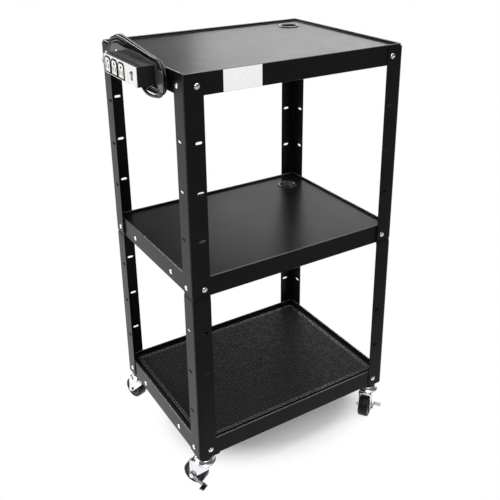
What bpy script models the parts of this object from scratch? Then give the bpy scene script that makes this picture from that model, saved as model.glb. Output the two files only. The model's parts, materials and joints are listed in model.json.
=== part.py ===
"""Audio visual cart: three folded steel shelves on slotted angle legs, four swivel
casters, and a three-outlet power strip whose mains lead is wound on a side winder.

Cart coordinates: X runs from the left legs' outer face to the right, Y from the front
legs' outer face to the back, Z up from the floor. At the end the whole cart is moved so
that the middle of its base lies at the world origin.
"""
import math

import bmesh
import bpy
from mathutils import Matrix, Vector

# Whole cart, over the legs' outer faces, and each shelf's rim above the floor
CART_WIDTH = 0.6096
CART_DEPTH = 0.4674
TOP_RIM_HEIGHT = 1.120
MIDDLE_RIM_HEIGHT = 0.630
BOTTOM_RIM_HEIGHT = 0.156

# Clearances
SEAT_GAP = 0.0003
FIT_GAP = 0.0005
CUT_MARGIN = 0.002

# Angle legs
LEG_FLANGE = 0.0476
LEG_STEEL = 0.002
LEG_BEND_RADIUS = 0.005
LEG_END_CORNER = 0.0095
LEG_SEAM_CORNER = 0.003
LEG_TOP_DROP = 0.005
HOLE_LINE = 0.03175
SLOT_PITCH = 0.1185
SLOT_LENGTH = 0.0175
SLOT_WIDTH = 0.0067
BOLT_DROP = 0.0285
BOLT_HOLE_RADIUS = 0.0035
SEAM_BELOW_BOLT = 0.0173
JOGGLE_GAP = 0.001
JOGGLE_RUN = 0.0105
JOGGLE_ABOVE_BOLT = 0.018

# Shelves
SHELF_STEEL = 0.0015
APRON_HEIGHT = 0.0515
APRON_RETURN = 0.012
APRON_FOLD_RADIUS = 0.0015
RIM_WIDTH = 0.004
RIM_ROUNDING = 0.0014
DECK_FILLET = 0.0012
DECK_DROP = 0.006
BOTTOM_DECK_DROP = 0.0108
SHELF_CORNER_RADIUS = 0.006
APRON_BOLT_SPACING = 0.219

# Ribbed mat
MAT_INSET = 0.022
MAT_FIELD = 0.002
MAT_BORDER_WIDTH = 0.003
MAT_BORDER_RISE = 0.0006
MAT_CORNER_RADIUS = 0.008

# Cable grommets
GROMMET_FROM_RIGHT = 0.0765
GROMMET_FROM_BACK = 0.076
GROMMET_BORE = 0.02225
GROMMET_SLEEVE = 0.0248
GROMMET_FLANGE = 0.0295
GROMMET_FLANGE_HEIGHT = 0.0027
GROMMET_EDGE = 0.0012
GROMMET_DEPTH = 0.013

# Caster wheels
WHEEL_RADIUS = 0.03175
TREAD_WIDTH = 0.029
TYRE_SHOULDER = 0.004
TYRE_BEAD_WIDTH = 0.026
HUB_RADIUS = 0.0212
HUB_RIM_DEPTH = 0.0035
HUB_WEB_WIDTH = 0.009
HUB_BOSS_RADIUS = 0.0085
HUB_BOSS_WIDTH = 0.033
AXLE_RADIUS = 0.004
AXLE_HEAD_RADIUS = 0.0072
AXLE_HEAD_HEIGHT = 0.0042

# Caster forks and swivels
CASTER_TRAIL = 0.0275
KINGPIN_INSET = 0.026
FORK_STEEL = 0.0022
FORK_HUB_GAP = 0.0006
FORK_CROWN_GAP = 0.011
FORK_SHOULDER = 0.003
FORK_EYE_RADIUS = 0.009
FORK_LEAD_REACH = 0.022
FORK_TRAIL_REACH = 0.036
RACE_RADIUS = 0.0275
RACE_RISE = 0.0048
RACE_TOP_RADIUS = 0.019
RACE_LIP = 0.0022
RACE_GAP = 0.0005
UPPER_RACE_RADIUS = 0.0283
UPPER_RACE_LIP = 0.003
UPPER_RACE_TOP_RADIUS = 0.0195
KINGPIN_RADIUS = 0.005
KINGPIN_HEAD_RADIUS = 0.009
KINGPIN_HEAD_HEIGHT = 0.0025
BRACKET_STEEL = 0.003
BRACKET_SIDE = 0.057
BRACKET_CHAMFER = 0.018
BRACKET_BOSS_RADIUS = 0.0205
BRACKET_BOSS_HEIGHT = 0.0105
CASTER_HEADINGS = {"front_left": 120.0, "front_right": 215.5, "back_left": 106.0, "back_right": 150.0}

# Side brake pedals, stored pressed as photographed
PEDAL_STEEL = 0.002
PEDAL_EYE_RADIUS = 0.010
PEDAL_REACH = 0.039
PEDAL_TIP_DROP = 0.0175
PEDAL_ARM_WIDTH = 0.011
PEDAL_BOW = 0.006
PEDAL_TREAD_WIDTH = 0.020
PEDAL_TREAD_LENGTH = 0.014
PEDAL_TREAD_THICKNESS = 0.0032

# Power strip
HOUSING_FRONT = 0.0677
HOUSING_BACK = 0.0263
HOUSING_NEAR_END = 0.080
HOUSING_FAR_END = 0.264
HOUSING_TOP = 0.010
HOUSING_BOTTOM = 0.035
HOUSING_STEP = 0.0014
HOUSING_STEP_FROM_FRONT = 0.011
HOUSING_ROUNDING = 0.0015
FACEPLATE_THICKNESS = 0.002
FACEPLATE_ROUNDING = 0.002
OUTLET_PITCH = 0.0397
OUTLET_FIRST = 0.1605
OUTLET_LEVEL = 0.0135
OUTLET_WIDTH = 0.030
OUTLET_HEIGHT = 0.0335
OUTLET_ROUNDING = 0.008
OUTLET_PROUD = 0.0012
OUTLET_DEPTH = 0.014
BLADE_SLOT_SPACING = 0.0127
BLADE_SLOT_WIDTH = 0.0021
BLADE_SLOT_HEIGHT = 0.0082
BLADE_SLOT_DROP = 0.004
BLADE_SLOT_DEPTH = 0.011
GROUND_HOLE_RADIUS = 0.0027
GROUND_HOLE_RISE = 0.0078
ROCKER_CENTRE = 0.104
ROCKER_WIDTH = 0.0110
ROCKER_HEIGHT = 0.0200
ROCKER_SWING_GAP = 0.0012
ROCKER_PIVOT_DEPTH = 0.0055
ROCKER_CREST = 0.0066
ROCKER_VALLEY = 0.0052
ROCKER_TAIL = 0.0030
ROCKER_TAIL_HALF = 0.0080
ROCKER_STUB_RADIUS = 0.0015
ROCKER_STUB_LENGTH = 0.002
ROCKER_POCKET_DEPTH = 0.0125
ROCKER_TILT = 12.0

# Cord winder
WINDER_PLATE_OUT = 0.026
WINDER_STEEL = 0.0016
WINDER_BACK_TOP = 0.0125
WINDER_BACK_TOP_START = 0.285
WINDER_BACK_NEAR_DROP = 0.004
WINDER_BACK_BOTTOM = 0.043
WINDER_BACK_NEAR_END = 0.084
WINDER_BACK_FAR_END = 0.320
WINDER_BACK_ROUNDING = 0.008
WINDER_TOP = 0.019
WINDER_NOSE_TOP = 0.012
WINDER_EAR_TOP = 0.001
WINDER_EAR_BOTTOM = 0.046
WINDER_WAIST_BOTTOM = 0.031
WINDER_NEAR_END = 0.044
WINDER_EAR_BACK = 0.0597
WINDER_EAR_KNEE = 0.073
WINDER_NOSE = 0.078
WINDER_TOP_START = 0.165
WINDER_LOBE_START = 0.285
WINDER_FAR_END = 0.338
WINDER_FAR_ROUNDING = 0.025
WINDER_EAR_ROUNDING = 0.007
FRONT_POST_RADIUS = 0.0168
BACK_POST_RADIUS = 0.0065
BACK_POST_ALONG = 0.298
BACK_POST_HEIGHT = 0.002
POST_SCREW_RADIUS = 0.0024

# Wound mains lead: corners that its turns go round, as Y and height against the top rim
CORD_DIAMETER = 0.0072
CORD_PITCH = 0.00785
WIND_FRONT = (0.110, -0.027)
WIND_BACK_HIGH = (0.312, -0.005)
WIND_BACK_MIDDLE = (0.342, -0.012)
WIND_BACK_LOW = (0.342, -0.028)
WIND_FIRST_OFFSET = 0.0412
WIND_REVERSE_TURN = 2.75
WIND_CLIMB_START = 2.5
WIND_CLIMB_TURNS = 0.5
WIND_LAST_LOOP = 5
INBOARD_LANE = -0.0043
MEAN_OFFSET = 0.031
LEAD_POINTS = [
    (-0.0480, 0.3100, -0.0130),
    (-0.0470, 0.3240, -0.0160),
    (-0.0440, 0.3380, -0.0220),
    (-0.0390, 0.3520, -0.0300),
    (-0.0320, 0.3650, -0.0380),
    (-0.0235, 0.3770, -0.0430),
    (-0.0150, 0.3870, -0.0430),
    (-0.0085, 0.3920, -0.0370),
]
TAIL_POINTS = [
    (-0.0133, 0.1180, -0.0700),
    (-0.0166, 0.1300, -0.0698),
    (-0.0194, 0.1420, -0.0676),
    (-0.0203, 0.1540, -0.0634),
    (-0.0203, 0.1660, -0.0576),
    (-0.0203, 0.1780, -0.0512),
    (-0.0202, 0.1900, -0.0450),
    (-0.0186, 0.2020, -0.0390),
    (-0.0154, 0.2140, -0.0340),
    (-0.0129, 0.2260, -0.0313),
]

# Strain relief and plug
RELIEF_LENGTH = 0.025
RELIEF_BASE_RADIUS = 0.0075
RELIEF_TIP_RADIUS = 0.0048
RELIEF_FLANGE_RADIUS = 0.0095
RELIEF_FLANGE_LENGTH = 0.003
RELIEF_OUT = 0.048
RELIEF_LEVEL = 0.0125
PLUG_START = 0.236
PLUG_OUT = 0.0121
PLUG_LEVEL = 0.0305
PLUG_WIDTH = 0.0225
PLUG_HEIGHT = 0.0265
PLUG_NECK_RADIUS = 0.005
PLUG_NECK_LENGTH = 0.012
PLUG_TAPER_LENGTH = 0.010
PLUG_BODY_LENGTH = 0.019
PLUG_ROUNDING = 0.006
BLADE_SPACING = 0.0127
BLADE_WIDTH = 0.0063
BLADE_THICKNESS = 0.0015
BLADE_LENGTH = 0.017
BLADE_OFFSET = 0.0035
GROUND_PIN_RADIUS = 0.0024
GROUND_PIN_LENGTH = 0.0205
GROUND_PIN_OFFSET = 0.0070

# Round facets
HOLE_STEPS = 8
SLOT_STEPS = 3
BEND_STEPS = 2
WHEEL_STEPS = 24
HUB_STEPS = 18
RACE_STEPS = 18
PIN_STEPS = 8
HEX_STEPS = 12
GROMMET_STEPS = 24

# Sizes that follow from the ones above
SHELF_INSET = LEG_STEEL + SEAT_GAP
LEG_BOTTOM = BOTTOM_RIM_HEIGHT - APRON_HEIGHT
LEG_TOP = TOP_RIM_HEIGHT - LEG_TOP_DROP
AXLE_HEIGHT = WHEEL_RADIUS
CROWN_BOTTOM = WHEEL_RADIUS * 2 + FORK_CROWN_GAP
FORK_INNER = HUB_BOSS_WIDTH / 2 + FORK_HUB_GAP
FORK_OUTER = FORK_INNER + FORK_STEEL
RACE_TOP = CROWN_BOTTOM + FORK_STEEL + RACE_RISE
UPPER_RACE_TOP = LEG_BOTTOM - SEAT_GAP * 2 - BRACKET_STEEL - BRACKET_BOSS_HEIGHT
FACE_OUT = HOUSING_FRONT + SEAT_GAP + FACEPLATE_THICKNESS
PLUG_LENGTH = PLUG_NECK_LENGTH + PLUG_TAPER_LENGTH + PLUG_BODY_LENGTH


def clear_scene():
    for obj in list(bpy.data.objects):
        bpy.data.objects.remove(obj, do_unlink=True)


def make_material(name, colour, roughness, metallic):
    material = bpy.data.materials.new(name)
    material.use_nodes = True
    shader = material.node_tree.nodes["Principled BSDF"]
    shader.inputs["Base Color"].default_value = (*colour, 1.0)
    shader.inputs["Roughness"].default_value = roughness
    shader.inputs["Metallic"].default_value = metallic
    return material


def arc(centre, radius, start, end, steps):
    """Points on an arc, angles in degrees, both ends included."""
    angles = [math.radians(start + (end - start) * i / steps) for i in range(steps + 1)]
    return [(centre[0] + radius * math.cos(a), centre[1] + radius * math.sin(a)) for a in angles]


def circle(centre, radius, steps):
    return arc(centre, radius, 0, 360, steps)[:-1]


def running_bore(radius, steps):
    """Corner radius of a faceted hole whose flats clear a shaft of the given radius."""
    return (radius + SEAT_GAP) / math.cos(math.pi / steps)


def rounded_rectangle(low, high, radius, steps):
    """Outline of a rectangle from its low corner to its high corner, corners rounded."""
    corners = [
        ((high[0] - radius, low[1] + radius), 270),
        ((high[0] - radius, high[1] - radius), 0),
        ((low[0] + radius, high[1] - radius), 90),
        ((low[0] + radius, low[1] + radius), 180),
    ]
    outline = []
    for centre, start in corners:
        outline += arc(centre, radius, start, start + 90, steps)
    return outline


def obround(centre, length, width, steps):
    """A slot's outline, long way along the first axis."""
    reach = (length - width) / 2
    right = arc((centre[0] + reach, centre[1]), width / 2, -90, 90, steps)
    left = arc((centre[0] - reach, centre[1]), width / 2, 90, 270, steps)
    return right + left


def place_point(axis, a, b, level):
    """A point whose outline coordinates are a and b and whose coordinate along axis is level."""
    if axis == "X":
        return (level, a, b)
    if axis == "Y":
        return (a, level, b)
    return (a, b, level)


def loft(bm, rings):
    """Skins closed rings of equal point counts and caps both ends."""
    rows = [[bm.verts.new(point) for point in ring] for ring in rings]
    count = len(rows[0])
    for low, high in zip(rows, rows[1:]):
        for i in range(count):
            j = (i + 1) % count
            bm.faces.new((low[i], low[j], high[j], high[i]))
    bm.faces.new(rows[0][::-1])
    bm.faces.new(rows[-1])


def prism(bm, outline, axis, low, high):
    """An outline extruded along an axis from low to high."""
    rings = [[place_point(axis, a, b, level) for a, b in outline] for level in (low, high)]
    loft(bm, rings)


def turned(bm, profile, steps, place, hexes=()):
    """A profile of (radius, height) points turned round Z, then moved by place.

    A profile whose ends lie on the axis closes there; any other joins its last point to its
    first round a bore. Points listed in hexes get a six-sided outline.
    """
    rows = []
    for index, (radius, height) in enumerate(profile):
        if radius == 0:
            rows.append([bm.verts.new(place @ Vector((0, 0, height)))])
            continue
        row = []
        for i in range(steps):
            angle = 2 * math.pi * i / steps
            flat = math.cos(math.pi / 6) if index in hexes and i % 2 else 1
            point = Vector((radius * flat * math.cos(angle), radius * flat * math.sin(angle), height))
            row.append(bm.verts.new(place @ point))
        rows.append(row)
    pairs = list(zip(rows, rows[1:]))
    if profile[0][0] != 0:
        pairs.append((rows[-1], rows[0]))
    for low, high in pairs:
        for i in range(steps):
            j = (i + 1) % steps
            corners = [low[i % len(low)], low[j % len(low)], high[j % len(high)], high[i % len(high)]]
            bm.faces.new(list(dict.fromkeys(corners)))


def finish_mesh(bm, name):
    bmesh.ops.recalc_face_normals(bm, faces=bm.faces)
    mesh = bpy.data.meshes.new(name)
    bm.to_mesh(mesh)
    bm.free()
    return mesh


def add_object(name, mesh, material, parent, place=None):
    """Links one named sub-part with its material under its parent."""
    obj = bpy.data.objects.new(name, mesh)
    bpy.context.scene.collection.objects.link(obj)
    if not mesh.materials:
        mesh.materials.append(material)
    obj.parent = parent
    if place is not None:
        obj.matrix_local = place
    return obj


def add_empty(name, parent, place):
    empty = bpy.data.objects.new(name, None)
    bpy.context.scene.collection.objects.link(empty)
    empty.parent = parent
    empty.matrix_local = place
    return empty


def combine(mesh, other, operation):
    """Boolean result of two closed meshes, as a new mesh."""
    base = bpy.data.objects.new("base", mesh)
    tool = bpy.data.objects.new("tool", other)
    tool.hide_render = True
    tool.display_type = "WIRE"
    for obj in (base, tool):
        bpy.context.scene.collection.objects.link(obj)
    modifier = base.modifiers.new("combine", "BOOLEAN")
    modifier.operation = operation
    modifier.solver = "EXACT"
    modifier.object = tool
    depsgraph = bpy.context.evaluated_depsgraph_get()
    result = bpy.data.meshes.new_from_object(base.evaluated_get(depsgraph))
    for obj in (base, tool):
        bpy.data.objects.remove(obj, do_unlink=True)
    return result


def carve(mesh, cutter_bm):
    return combine(mesh, finish_mesh(cutter_bm, "cutter"), "DIFFERENCE")


def smooth(mesh, angle=30.0):
    mesh.shade_smooth()
    mesh.set_sharp_from_angle(angle=math.radians(angle))
    return mesh


def turned_mesh(name, profile, steps, place=None, hexes=()):
    bm = bmesh.new()
    turned(bm, profile, steps, place or Matrix.Identity(4), hexes)
    return smooth(finish_mesh(bm, name))


def along_y(x, y, z):
    """Turns Z onto Y and moves to a point, for pieces whose axis runs along Y."""
    return Matrix.Translation((x, y, z)) @ Matrix.Rotation(math.radians(-90), 4, "X")


def along_x(x, y, z):
    """Turns Z onto X and moves to a point, for pieces whose axis runs along X."""
    return Matrix.Translation((x, y, z)) @ Matrix.Rotation(math.radians(90), 4, "Y")


# Legs


def angle_ring(inset, height):
    """The leg's L section, its outer faces set in by inset, round one bend centre."""
    centre = (LEG_BEND_RADIUS, LEG_BEND_RADIUS)
    outer = arc(centre, LEG_BEND_RADIUS - inset, 270, 180, BEND_STEPS)
    inner = arc(centre, LEG_BEND_RADIUS - inset - LEG_STEEL, 180, 270, BEND_STEPS)
    outline = [(LEG_FLANGE, inset)] + outer + [(inset, LEG_FLANGE)]
    outline += [(inset + LEG_STEEL, LEG_FLANGE)] + inner + [(LEG_FLANGE, inset + LEG_STEEL)]
    return [(x, y, height) for x, y in outline]


def cut_end_corner(bm, end, toward, radius, depth):
    """Cutters that round both flanges' free corners at one end; toward is 1 at a top end."""
    edge = LEG_FLANGE
    start, stop = (0, 90) if toward > 0 else (0, -90)
    curve = arc((edge - radius, end - toward * radius), radius, start, stop, BEND_STEPS)
    beyond = end + toward * CUT_MARGIN
    outline = curve + [(edge - radius, beyond), (edge + CUT_MARGIN, beyond)]
    outline += [(edge + CUT_MARGIN, end - toward * radius)]
    prism(bm, outline, "Y", -CUT_MARGIN, depth + CUT_MARGIN)
    prism(bm, outline, "X", -CUT_MARGIN, depth + CUT_MARGIN)


def cut_leg_holes(bm, bolts, slots, depth):
    """Cutters for round bolt holes and for slots across both flanges."""
    for axis in ("X", "Y"):
        for level in bolts:
            prism(bm, circle((HOLE_LINE, level), BOLT_HOLE_RADIUS, HOLE_STEPS), axis, -CUT_MARGIN, depth)
        for level in slots:
            outline = obround((HOLE_LINE, level), SLOT_LENGTH, SLOT_WIDTH, SLOT_STEPS)
            prism(bm, outline, axis, -CUT_MARGIN, depth)


def slot_levels(low_bolt, high_bolt):
    middle = (low_bolt + high_bolt) / 2
    return [middle - SLOT_PITCH, middle, middle + SLOT_PITCH]


def upper_leg_mesh():
    top_bolt = TOP_RIM_HEIGHT - BOLT_DROP
    seam_bolt = MIDDLE_RIM_HEIGHT - BOLT_DROP
    bottom = seam_bolt - SEAM_BELOW_BOLT
    bm = bmesh.new()
    loft(bm, [angle_ring(0, bottom), angle_ring(0, LEG_TOP)])
    cutter = bmesh.new()
    depth = LEG_STEEL + CUT_MARGIN
    cut_leg_holes(cutter, [top_bolt, seam_bolt], slot_levels(seam_bolt, top_bolt), depth)
    cut_end_corner(cutter, LEG_TOP, 1, LEG_END_CORNER, LEG_STEEL)
    cut_end_corner(cutter, bottom, -1, LEG_SEAM_CORNER, LEG_STEEL)
    return smooth(carve(finish_mesh(bm, "upper_leg"), cutter))


def lower_leg_mesh():
    """Angle whose top end is joggled inward by one thickness, to nest in the upper leg."""
    low_bolt = BOTTOM_RIM_HEIGHT - BOLT_DROP
    seam_bolt = MIDDLE_RIM_HEIGHT - BOLT_DROP
    joggle_top = seam_bolt - SEAM_BELOW_BOLT - JOGGLE_GAP
    joggle_foot = joggle_top - JOGGLE_RUN
    top = seam_bolt + JOGGLE_ABOVE_BOLT
    inset = LEG_STEEL + SEAT_GAP
    rings = [angle_ring(0, LEG_BOTTOM), angle_ring(0, joggle_foot)]
    rings += [angle_ring(inset, joggle_top), angle_ring(inset, top)]
    bm = bmesh.new()
    loft(bm, rings)
    cutter = bmesh.new()
    depth = inset + LEG_STEEL + CUT_MARGIN
    cut_leg_holes(cutter, [low_bolt, seam_bolt], slot_levels(low_bolt, seam_bolt), depth)
    cut_end_corner(cutter, LEG_BOTTOM, -1, LEG_END_CORNER, LEG_STEEL)
    cut_end_corner(cutter, top, 1, LEG_SEAM_CORNER, inset + LEG_STEEL)
    return smooth(carve(finish_mesh(bm, "lower_leg"), cutter))


def corner_places():
    """Each corner's name and the move that puts a front left corner piece there."""
    turns = [
        ("front_left", (0, 0, 0), 0),
        ("front_right", (CART_WIDTH, 0, 0), 90),
        ("back_right", (CART_WIDTH, CART_DEPTH, 0), 180),
        ("back_left", (0, CART_DEPTH, 0), 270),
    ]
    for name, point, angle in turns:
        yield name, Matrix.Translation(point) @ Matrix.Rotation(math.radians(angle), 4, "Z")


def build_legs(cart, steel):
    upper = upper_leg_mesh()
    lower = lower_leg_mesh()
    for name, place in corner_places():
        add_object(f"{name}_upper_leg", upper, steel, cart, place)
        add_object(f"{name}_lower_leg", lower, steel, cart, place)


# Shelves


def shelf_ring(inset, depth_in, height):
    """Shelf outline set in from the apron's outer face by depth_in."""
    edge = inset + depth_in
    radius = max(SHELF_CORNER_RADIUS - depth_in, SHELF_STEEL)
    outline = rounded_rectangle((edge, edge), (CART_WIDTH - edge, CART_DEPTH - edge), radius, BEND_STEPS)
    return [(x, y, height) for x, y in outline]


def apron_hole_cutters(bm, inset, level):
    """Bolt holes through the aprons: two a corner, and two along each side."""
    inner = inset + SHELF_STEEL + CUT_MARGIN
    spans_x = [HOLE_LINE, CART_WIDTH - HOLE_LINE]
    middle = CART_DEPTH / 2
    side_bolts = [middle - APRON_BOLT_SPACING / 2, middle + APRON_BOLT_SPACING / 2]
    spans_y = [HOLE_LINE, CART_DEPTH - HOLE_LINE] + side_bolts
    for x in spans_x:
        outline = circle((x, level), BOLT_HOLE_RADIUS, HOLE_STEPS)
        prism(bm, outline, "Y", inset - CUT_MARGIN, inner)
        prism(bm, outline, "Y", CART_DEPTH - inner, CART_DEPTH - inset + CUT_MARGIN)
    for y in spans_y:
        outline = circle((y, level), BOLT_HOLE_RADIUS, HOLE_STEPS)
        prism(bm, outline, "X", inset - CUT_MARGIN, inner)
        prism(bm, outline, "X", CART_WIDTH - inner, CART_WIDTH - inset + CUT_MARGIN)


def grommet_centre():
    return (CART_WIDTH - GROMMET_FROM_RIGHT, CART_DEPTH - GROMMET_FROM_BACK)


def shelf_mesh(rim, inset, deck_drop, with_grommet):
    """Folded pan: return flange, apron, hemmed rim and recessed deck."""
    bottom = rim - APRON_HEIGHT
    deck = rim - deck_drop
    underside = deck - SHELF_STEEL
    section = [
        (SHELF_STEEL, underside),
        (SHELF_STEEL, bottom + SHELF_STEEL),
        (APRON_RETURN, bottom + SHELF_STEEL),
        (APRON_RETURN, bottom),
        (APRON_FOLD_RADIUS, bottom),
        (0, bottom + APRON_FOLD_RADIUS),
        (0, rim - RIM_ROUNDING),
        (RIM_ROUNDING, rim),
        (RIM_WIDTH - RIM_ROUNDING, rim),
        (RIM_WIDTH, rim - RIM_ROUNDING),
        (RIM_WIDTH, deck + DECK_FILLET),
        (RIM_WIDTH + DECK_FILLET, deck),
    ]
    bm = bmesh.new()
    loft(bm, [shelf_ring(inset, depth_in, height) for depth_in, height in section])
    cutter = bmesh.new()
    apron_hole_cutters(cutter, inset, rim - BOLT_DROP)
    if with_grommet:
        hole = circle(grommet_centre(), running_bore(GROMMET_SLEEVE, GROMMET_STEPS), GROMMET_STEPS)
        prism(cutter, hole, "Z", underside - CUT_MARGIN, deck + CUT_MARGIN)
    return smooth(carve(finish_mesh(bm, "shelf"), cutter))


def grommet_mesh(deck):
    top = deck + GROMMET_FLANGE_HEIGHT
    profile = [
        (GROMMET_BORE, deck - GROMMET_DEPTH),
        (GROMMET_SLEEVE, deck - GROMMET_DEPTH),
        (GROMMET_SLEEVE, deck + SEAT_GAP),
        (GROMMET_FLANGE, deck + SEAT_GAP),
        (GROMMET_FLANGE, deck + GROMMET_EDGE),
        (GROMMET_FLANGE - GROMMET_EDGE, top),
        (GROMMET_SLEEVE - GROMMET_EDGE, top),
        (GROMMET_BORE, top - GROMMET_EDGE),
    ]
    centre = grommet_centre()
    return turned_mesh("grommet", profile, GROMMET_STEPS, Matrix.Translation((*centre, 0)))


def mat_mesh(deck):
    """Rubber mat with a thin raised border; its ribs are surface texture."""
    low = deck + SEAT_GAP
    field = low + MAT_FIELD
    border = field + MAT_BORDER_RISE
    bm = bmesh.new()
    rings = []
    for depth_in, height in ((0, low), (0, border), (MAT_BORDER_WIDTH, border), (MAT_BORDER_WIDTH, field)):
        edge = MAT_INSET + depth_in
        outline = rounded_rectangle(
            (edge, edge),
            (CART_WIDTH - edge, CART_DEPTH - edge),
            MAT_CORNER_RADIUS - depth_in,
            BEND_STEPS,
        )
        rings.append([(x, y, height) for x, y in outline])
    loft(bm, rings)
    return smooth(finish_mesh(bm, "mat"))


def build_shelves(cart, paints):
    middle_inset = SHELF_INSET * 2
    top = shelf_mesh(TOP_RIM_HEIGHT, SHELF_INSET, DECK_DROP, True)
    middle = shelf_mesh(MIDDLE_RIM_HEIGHT, middle_inset, DECK_DROP, True)
    bottom = shelf_mesh(BOTTOM_RIM_HEIGHT, SHELF_INSET, BOTTOM_DECK_DROP, False)
    add_object("top_shelf", top, paints["steel"], cart)
    add_object("middle_shelf", middle, paints["steel"], cart)
    add_object("bottom_shelf", bottom, paints["steel"], cart)
    top_grommet = grommet_mesh(TOP_RIM_HEIGHT - DECK_DROP)
    middle_grommet = grommet_mesh(MIDDLE_RIM_HEIGHT - DECK_DROP)
    add_object("top_cable_grommet", top_grommet, paints["plastic"], cart)
    add_object("middle_cable_grommet", middle_grommet, paints["plastic"], cart)
    mat = mat_mesh(BOTTOM_RIM_HEIGHT - BOTTOM_DECK_DROP)
    add_object("ribbed_mat", mat, paints["rubber"], cart)


# Casters, each drawn at its own kingpin with the wheel trailing along +X


def bracket_mesh():
    """Corner plate under the leg, its inner corner cut off, with a pressed boss below."""
    top = LEG_BOTTOM - SEAT_GAP
    low = SHELF_INSET
    high = SHELF_INSET + BRACKET_SIDE
    outline = [(low, low), (high, low), (high, high - BRACKET_CHAMFER)]
    outline += [(high - BRACKET_CHAMFER, high), (low, high)]
    bm = bmesh.new()
    prism(bm, outline, "Z", top - BRACKET_STEEL, top)
    plate = finish_mesh(bm, "bracket")
    centre = (KINGPIN_INSET, KINGPIN_INSET)
    boss_bm = bmesh.new()
    boss = circle(centre, BRACKET_BOSS_RADIUS, RACE_STEPS)
    boss_bottom = top - BRACKET_STEEL - BRACKET_BOSS_HEIGHT
    prism(boss_bm, boss, "Z", boss_bottom, top - BRACKET_STEEL / 2)
    joined = combine(plate, finish_mesh(boss_bm, "boss"), "UNION")
    cutter = bmesh.new()
    hole = circle(centre, running_bore(KINGPIN_RADIUS, PIN_STEPS), PIN_STEPS)
    prism(cutter, hole, "Z", boss_bottom - CUT_MARGIN, top + CUT_MARGIN)
    return smooth(carve(joined, cutter))


def upper_race_mesh():
    """Pressed upper race: a flat seat that flares down to a rolled rim."""
    low = RACE_TOP + RACE_GAP - RACE_RISE
    seat = RACE_TOP + RACE_GAP
    bore = running_bore(KINGPIN_RADIUS, RACE_STEPS)
    profile = [
        (bore, seat),
        (UPPER_RACE_TOP_RADIUS, seat),
        (UPPER_RACE_RADIUS - FORK_STEEL, low + UPPER_RACE_LIP / 2),
        (UPPER_RACE_RADIUS, low),
        (UPPER_RACE_RADIUS + FORK_STEEL / 2, low + UPPER_RACE_LIP / 2),
        (UPPER_RACE_RADIUS, low + UPPER_RACE_LIP),
        (UPPER_RACE_TOP_RADIUS, UPPER_RACE_TOP),
        (bore, UPPER_RACE_TOP),
    ]
    return turned_mesh("upper_race", profile, RACE_STEPS)


def kingpin_mesh():
    """Rivet through the bracket, the races and the crown, with a head at each end."""
    low = CROWN_BOTTOM - SEAT_GAP - KINGPIN_HEAD_HEIGHT
    high = LEG_BOTTOM
    profile = [
        (0, low),
        (KINGPIN_HEAD_RADIUS - KINGPIN_HEAD_HEIGHT / 2, low),
        (KINGPIN_HEAD_RADIUS, low + KINGPIN_HEAD_HEIGHT / 2),
        (KINGPIN_HEAD_RADIUS, CROWN_BOTTOM - SEAT_GAP),
        (KINGPIN_RADIUS, CROWN_BOTTOM - SEAT_GAP),
        (KINGPIN_RADIUS, high),
        (KINGPIN_HEAD_RADIUS, high),
        (KINGPIN_HEAD_RADIUS - KINGPIN_HEAD_HEIGHT / 2, high + KINGPIN_HEAD_HEIGHT),
        (0, high + KINGPIN_HEAD_HEIGHT),
    ]
    return turned_mesh("kingpin", profile, PIN_STEPS)


def fork_side(crown_top):
    """The fork's side outline: a wide crown that narrows to the axle's eye."""
    eye = (CASTER_TRAIL, AXLE_HEIGHT)
    shoulder = crown_top - FORK_SHOULDER
    outline = [(-FORK_LEAD_REACH, shoulder), (-FORK_LEAD_REACH + FORK_SHOULDER, crown_top)]
    outline += [(FORK_TRAIL_REACH - FORK_SHOULDER, crown_top), (FORK_TRAIL_REACH, shoulder)]
    outline += arc(eye, FORK_EYE_RADIUS, 0, -150, BEND_STEPS * 2)
    knee = CROWN_BOTTOM - FORK_SHOULDER * 2
    outline += [(-FORK_LEAD_REACH, knee)]
    return outline


def fork_mesh():
    """Pressed fork: channel of crown and two tapering sides, and a raised lower race."""
    crown_top = CROWN_BOTTOM + FORK_STEEL
    bm = bmesh.new()
    prism(bm, fork_side(crown_top), "Y", -FORK_OUTER, FORK_OUTER)
    body = finish_mesh(bm, "fork")
    race = bmesh.new()
    profile = [
        (0, CROWN_BOTTOM),
        (RACE_RADIUS - RACE_LIP, CROWN_BOTTOM),
        (RACE_RADIUS, CROWN_BOTTOM + RACE_LIP / 2),
        (RACE_RADIUS - RACE_LIP / 2, CROWN_BOTTOM + RACE_LIP),
        (RACE_TOP_RADIUS, CROWN_BOTTOM + RACE_LIP),
        (RACE_TOP_RADIUS - RACE_LIP, RACE_TOP),
        (0, RACE_TOP),
    ]
    turned(race, profile, RACE_STEPS, Matrix.Identity(4))
    body = combine(body, finish_mesh(race, "race"), "UNION")
    channel = bmesh.new()
    outline = rounded_rectangle(
        (-FORK_INNER, -CUT_MARGIN),
        (FORK_INNER, CROWN_BOTTOM),
        FORK_SHOULDER,
        BEND_STEPS,
    )
    reach = FORK_TRAIL_REACH + FORK_EYE_RADIUS
    prism(channel, outline, "X", -reach, reach)
    body = carve(body, channel)
    holes = bmesh.new()
    eye = circle((CASTER_TRAIL, AXLE_HEIGHT), running_bore(AXLE_RADIUS, PIN_STEPS), PIN_STEPS)
    prism(holes, eye, "Y", -FORK_OUTER - CUT_MARGIN, FORK_OUTER + CUT_MARGIN)
    pin = circle((0, 0), running_bore(KINGPIN_RADIUS, PIN_STEPS), PIN_STEPS)
    prism(holes, pin, "Z", CROWN_BOTTOM - CUT_MARGIN, RACE_TOP + CUT_MARGIN)
    return smooth(carve(body, holes))


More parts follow.
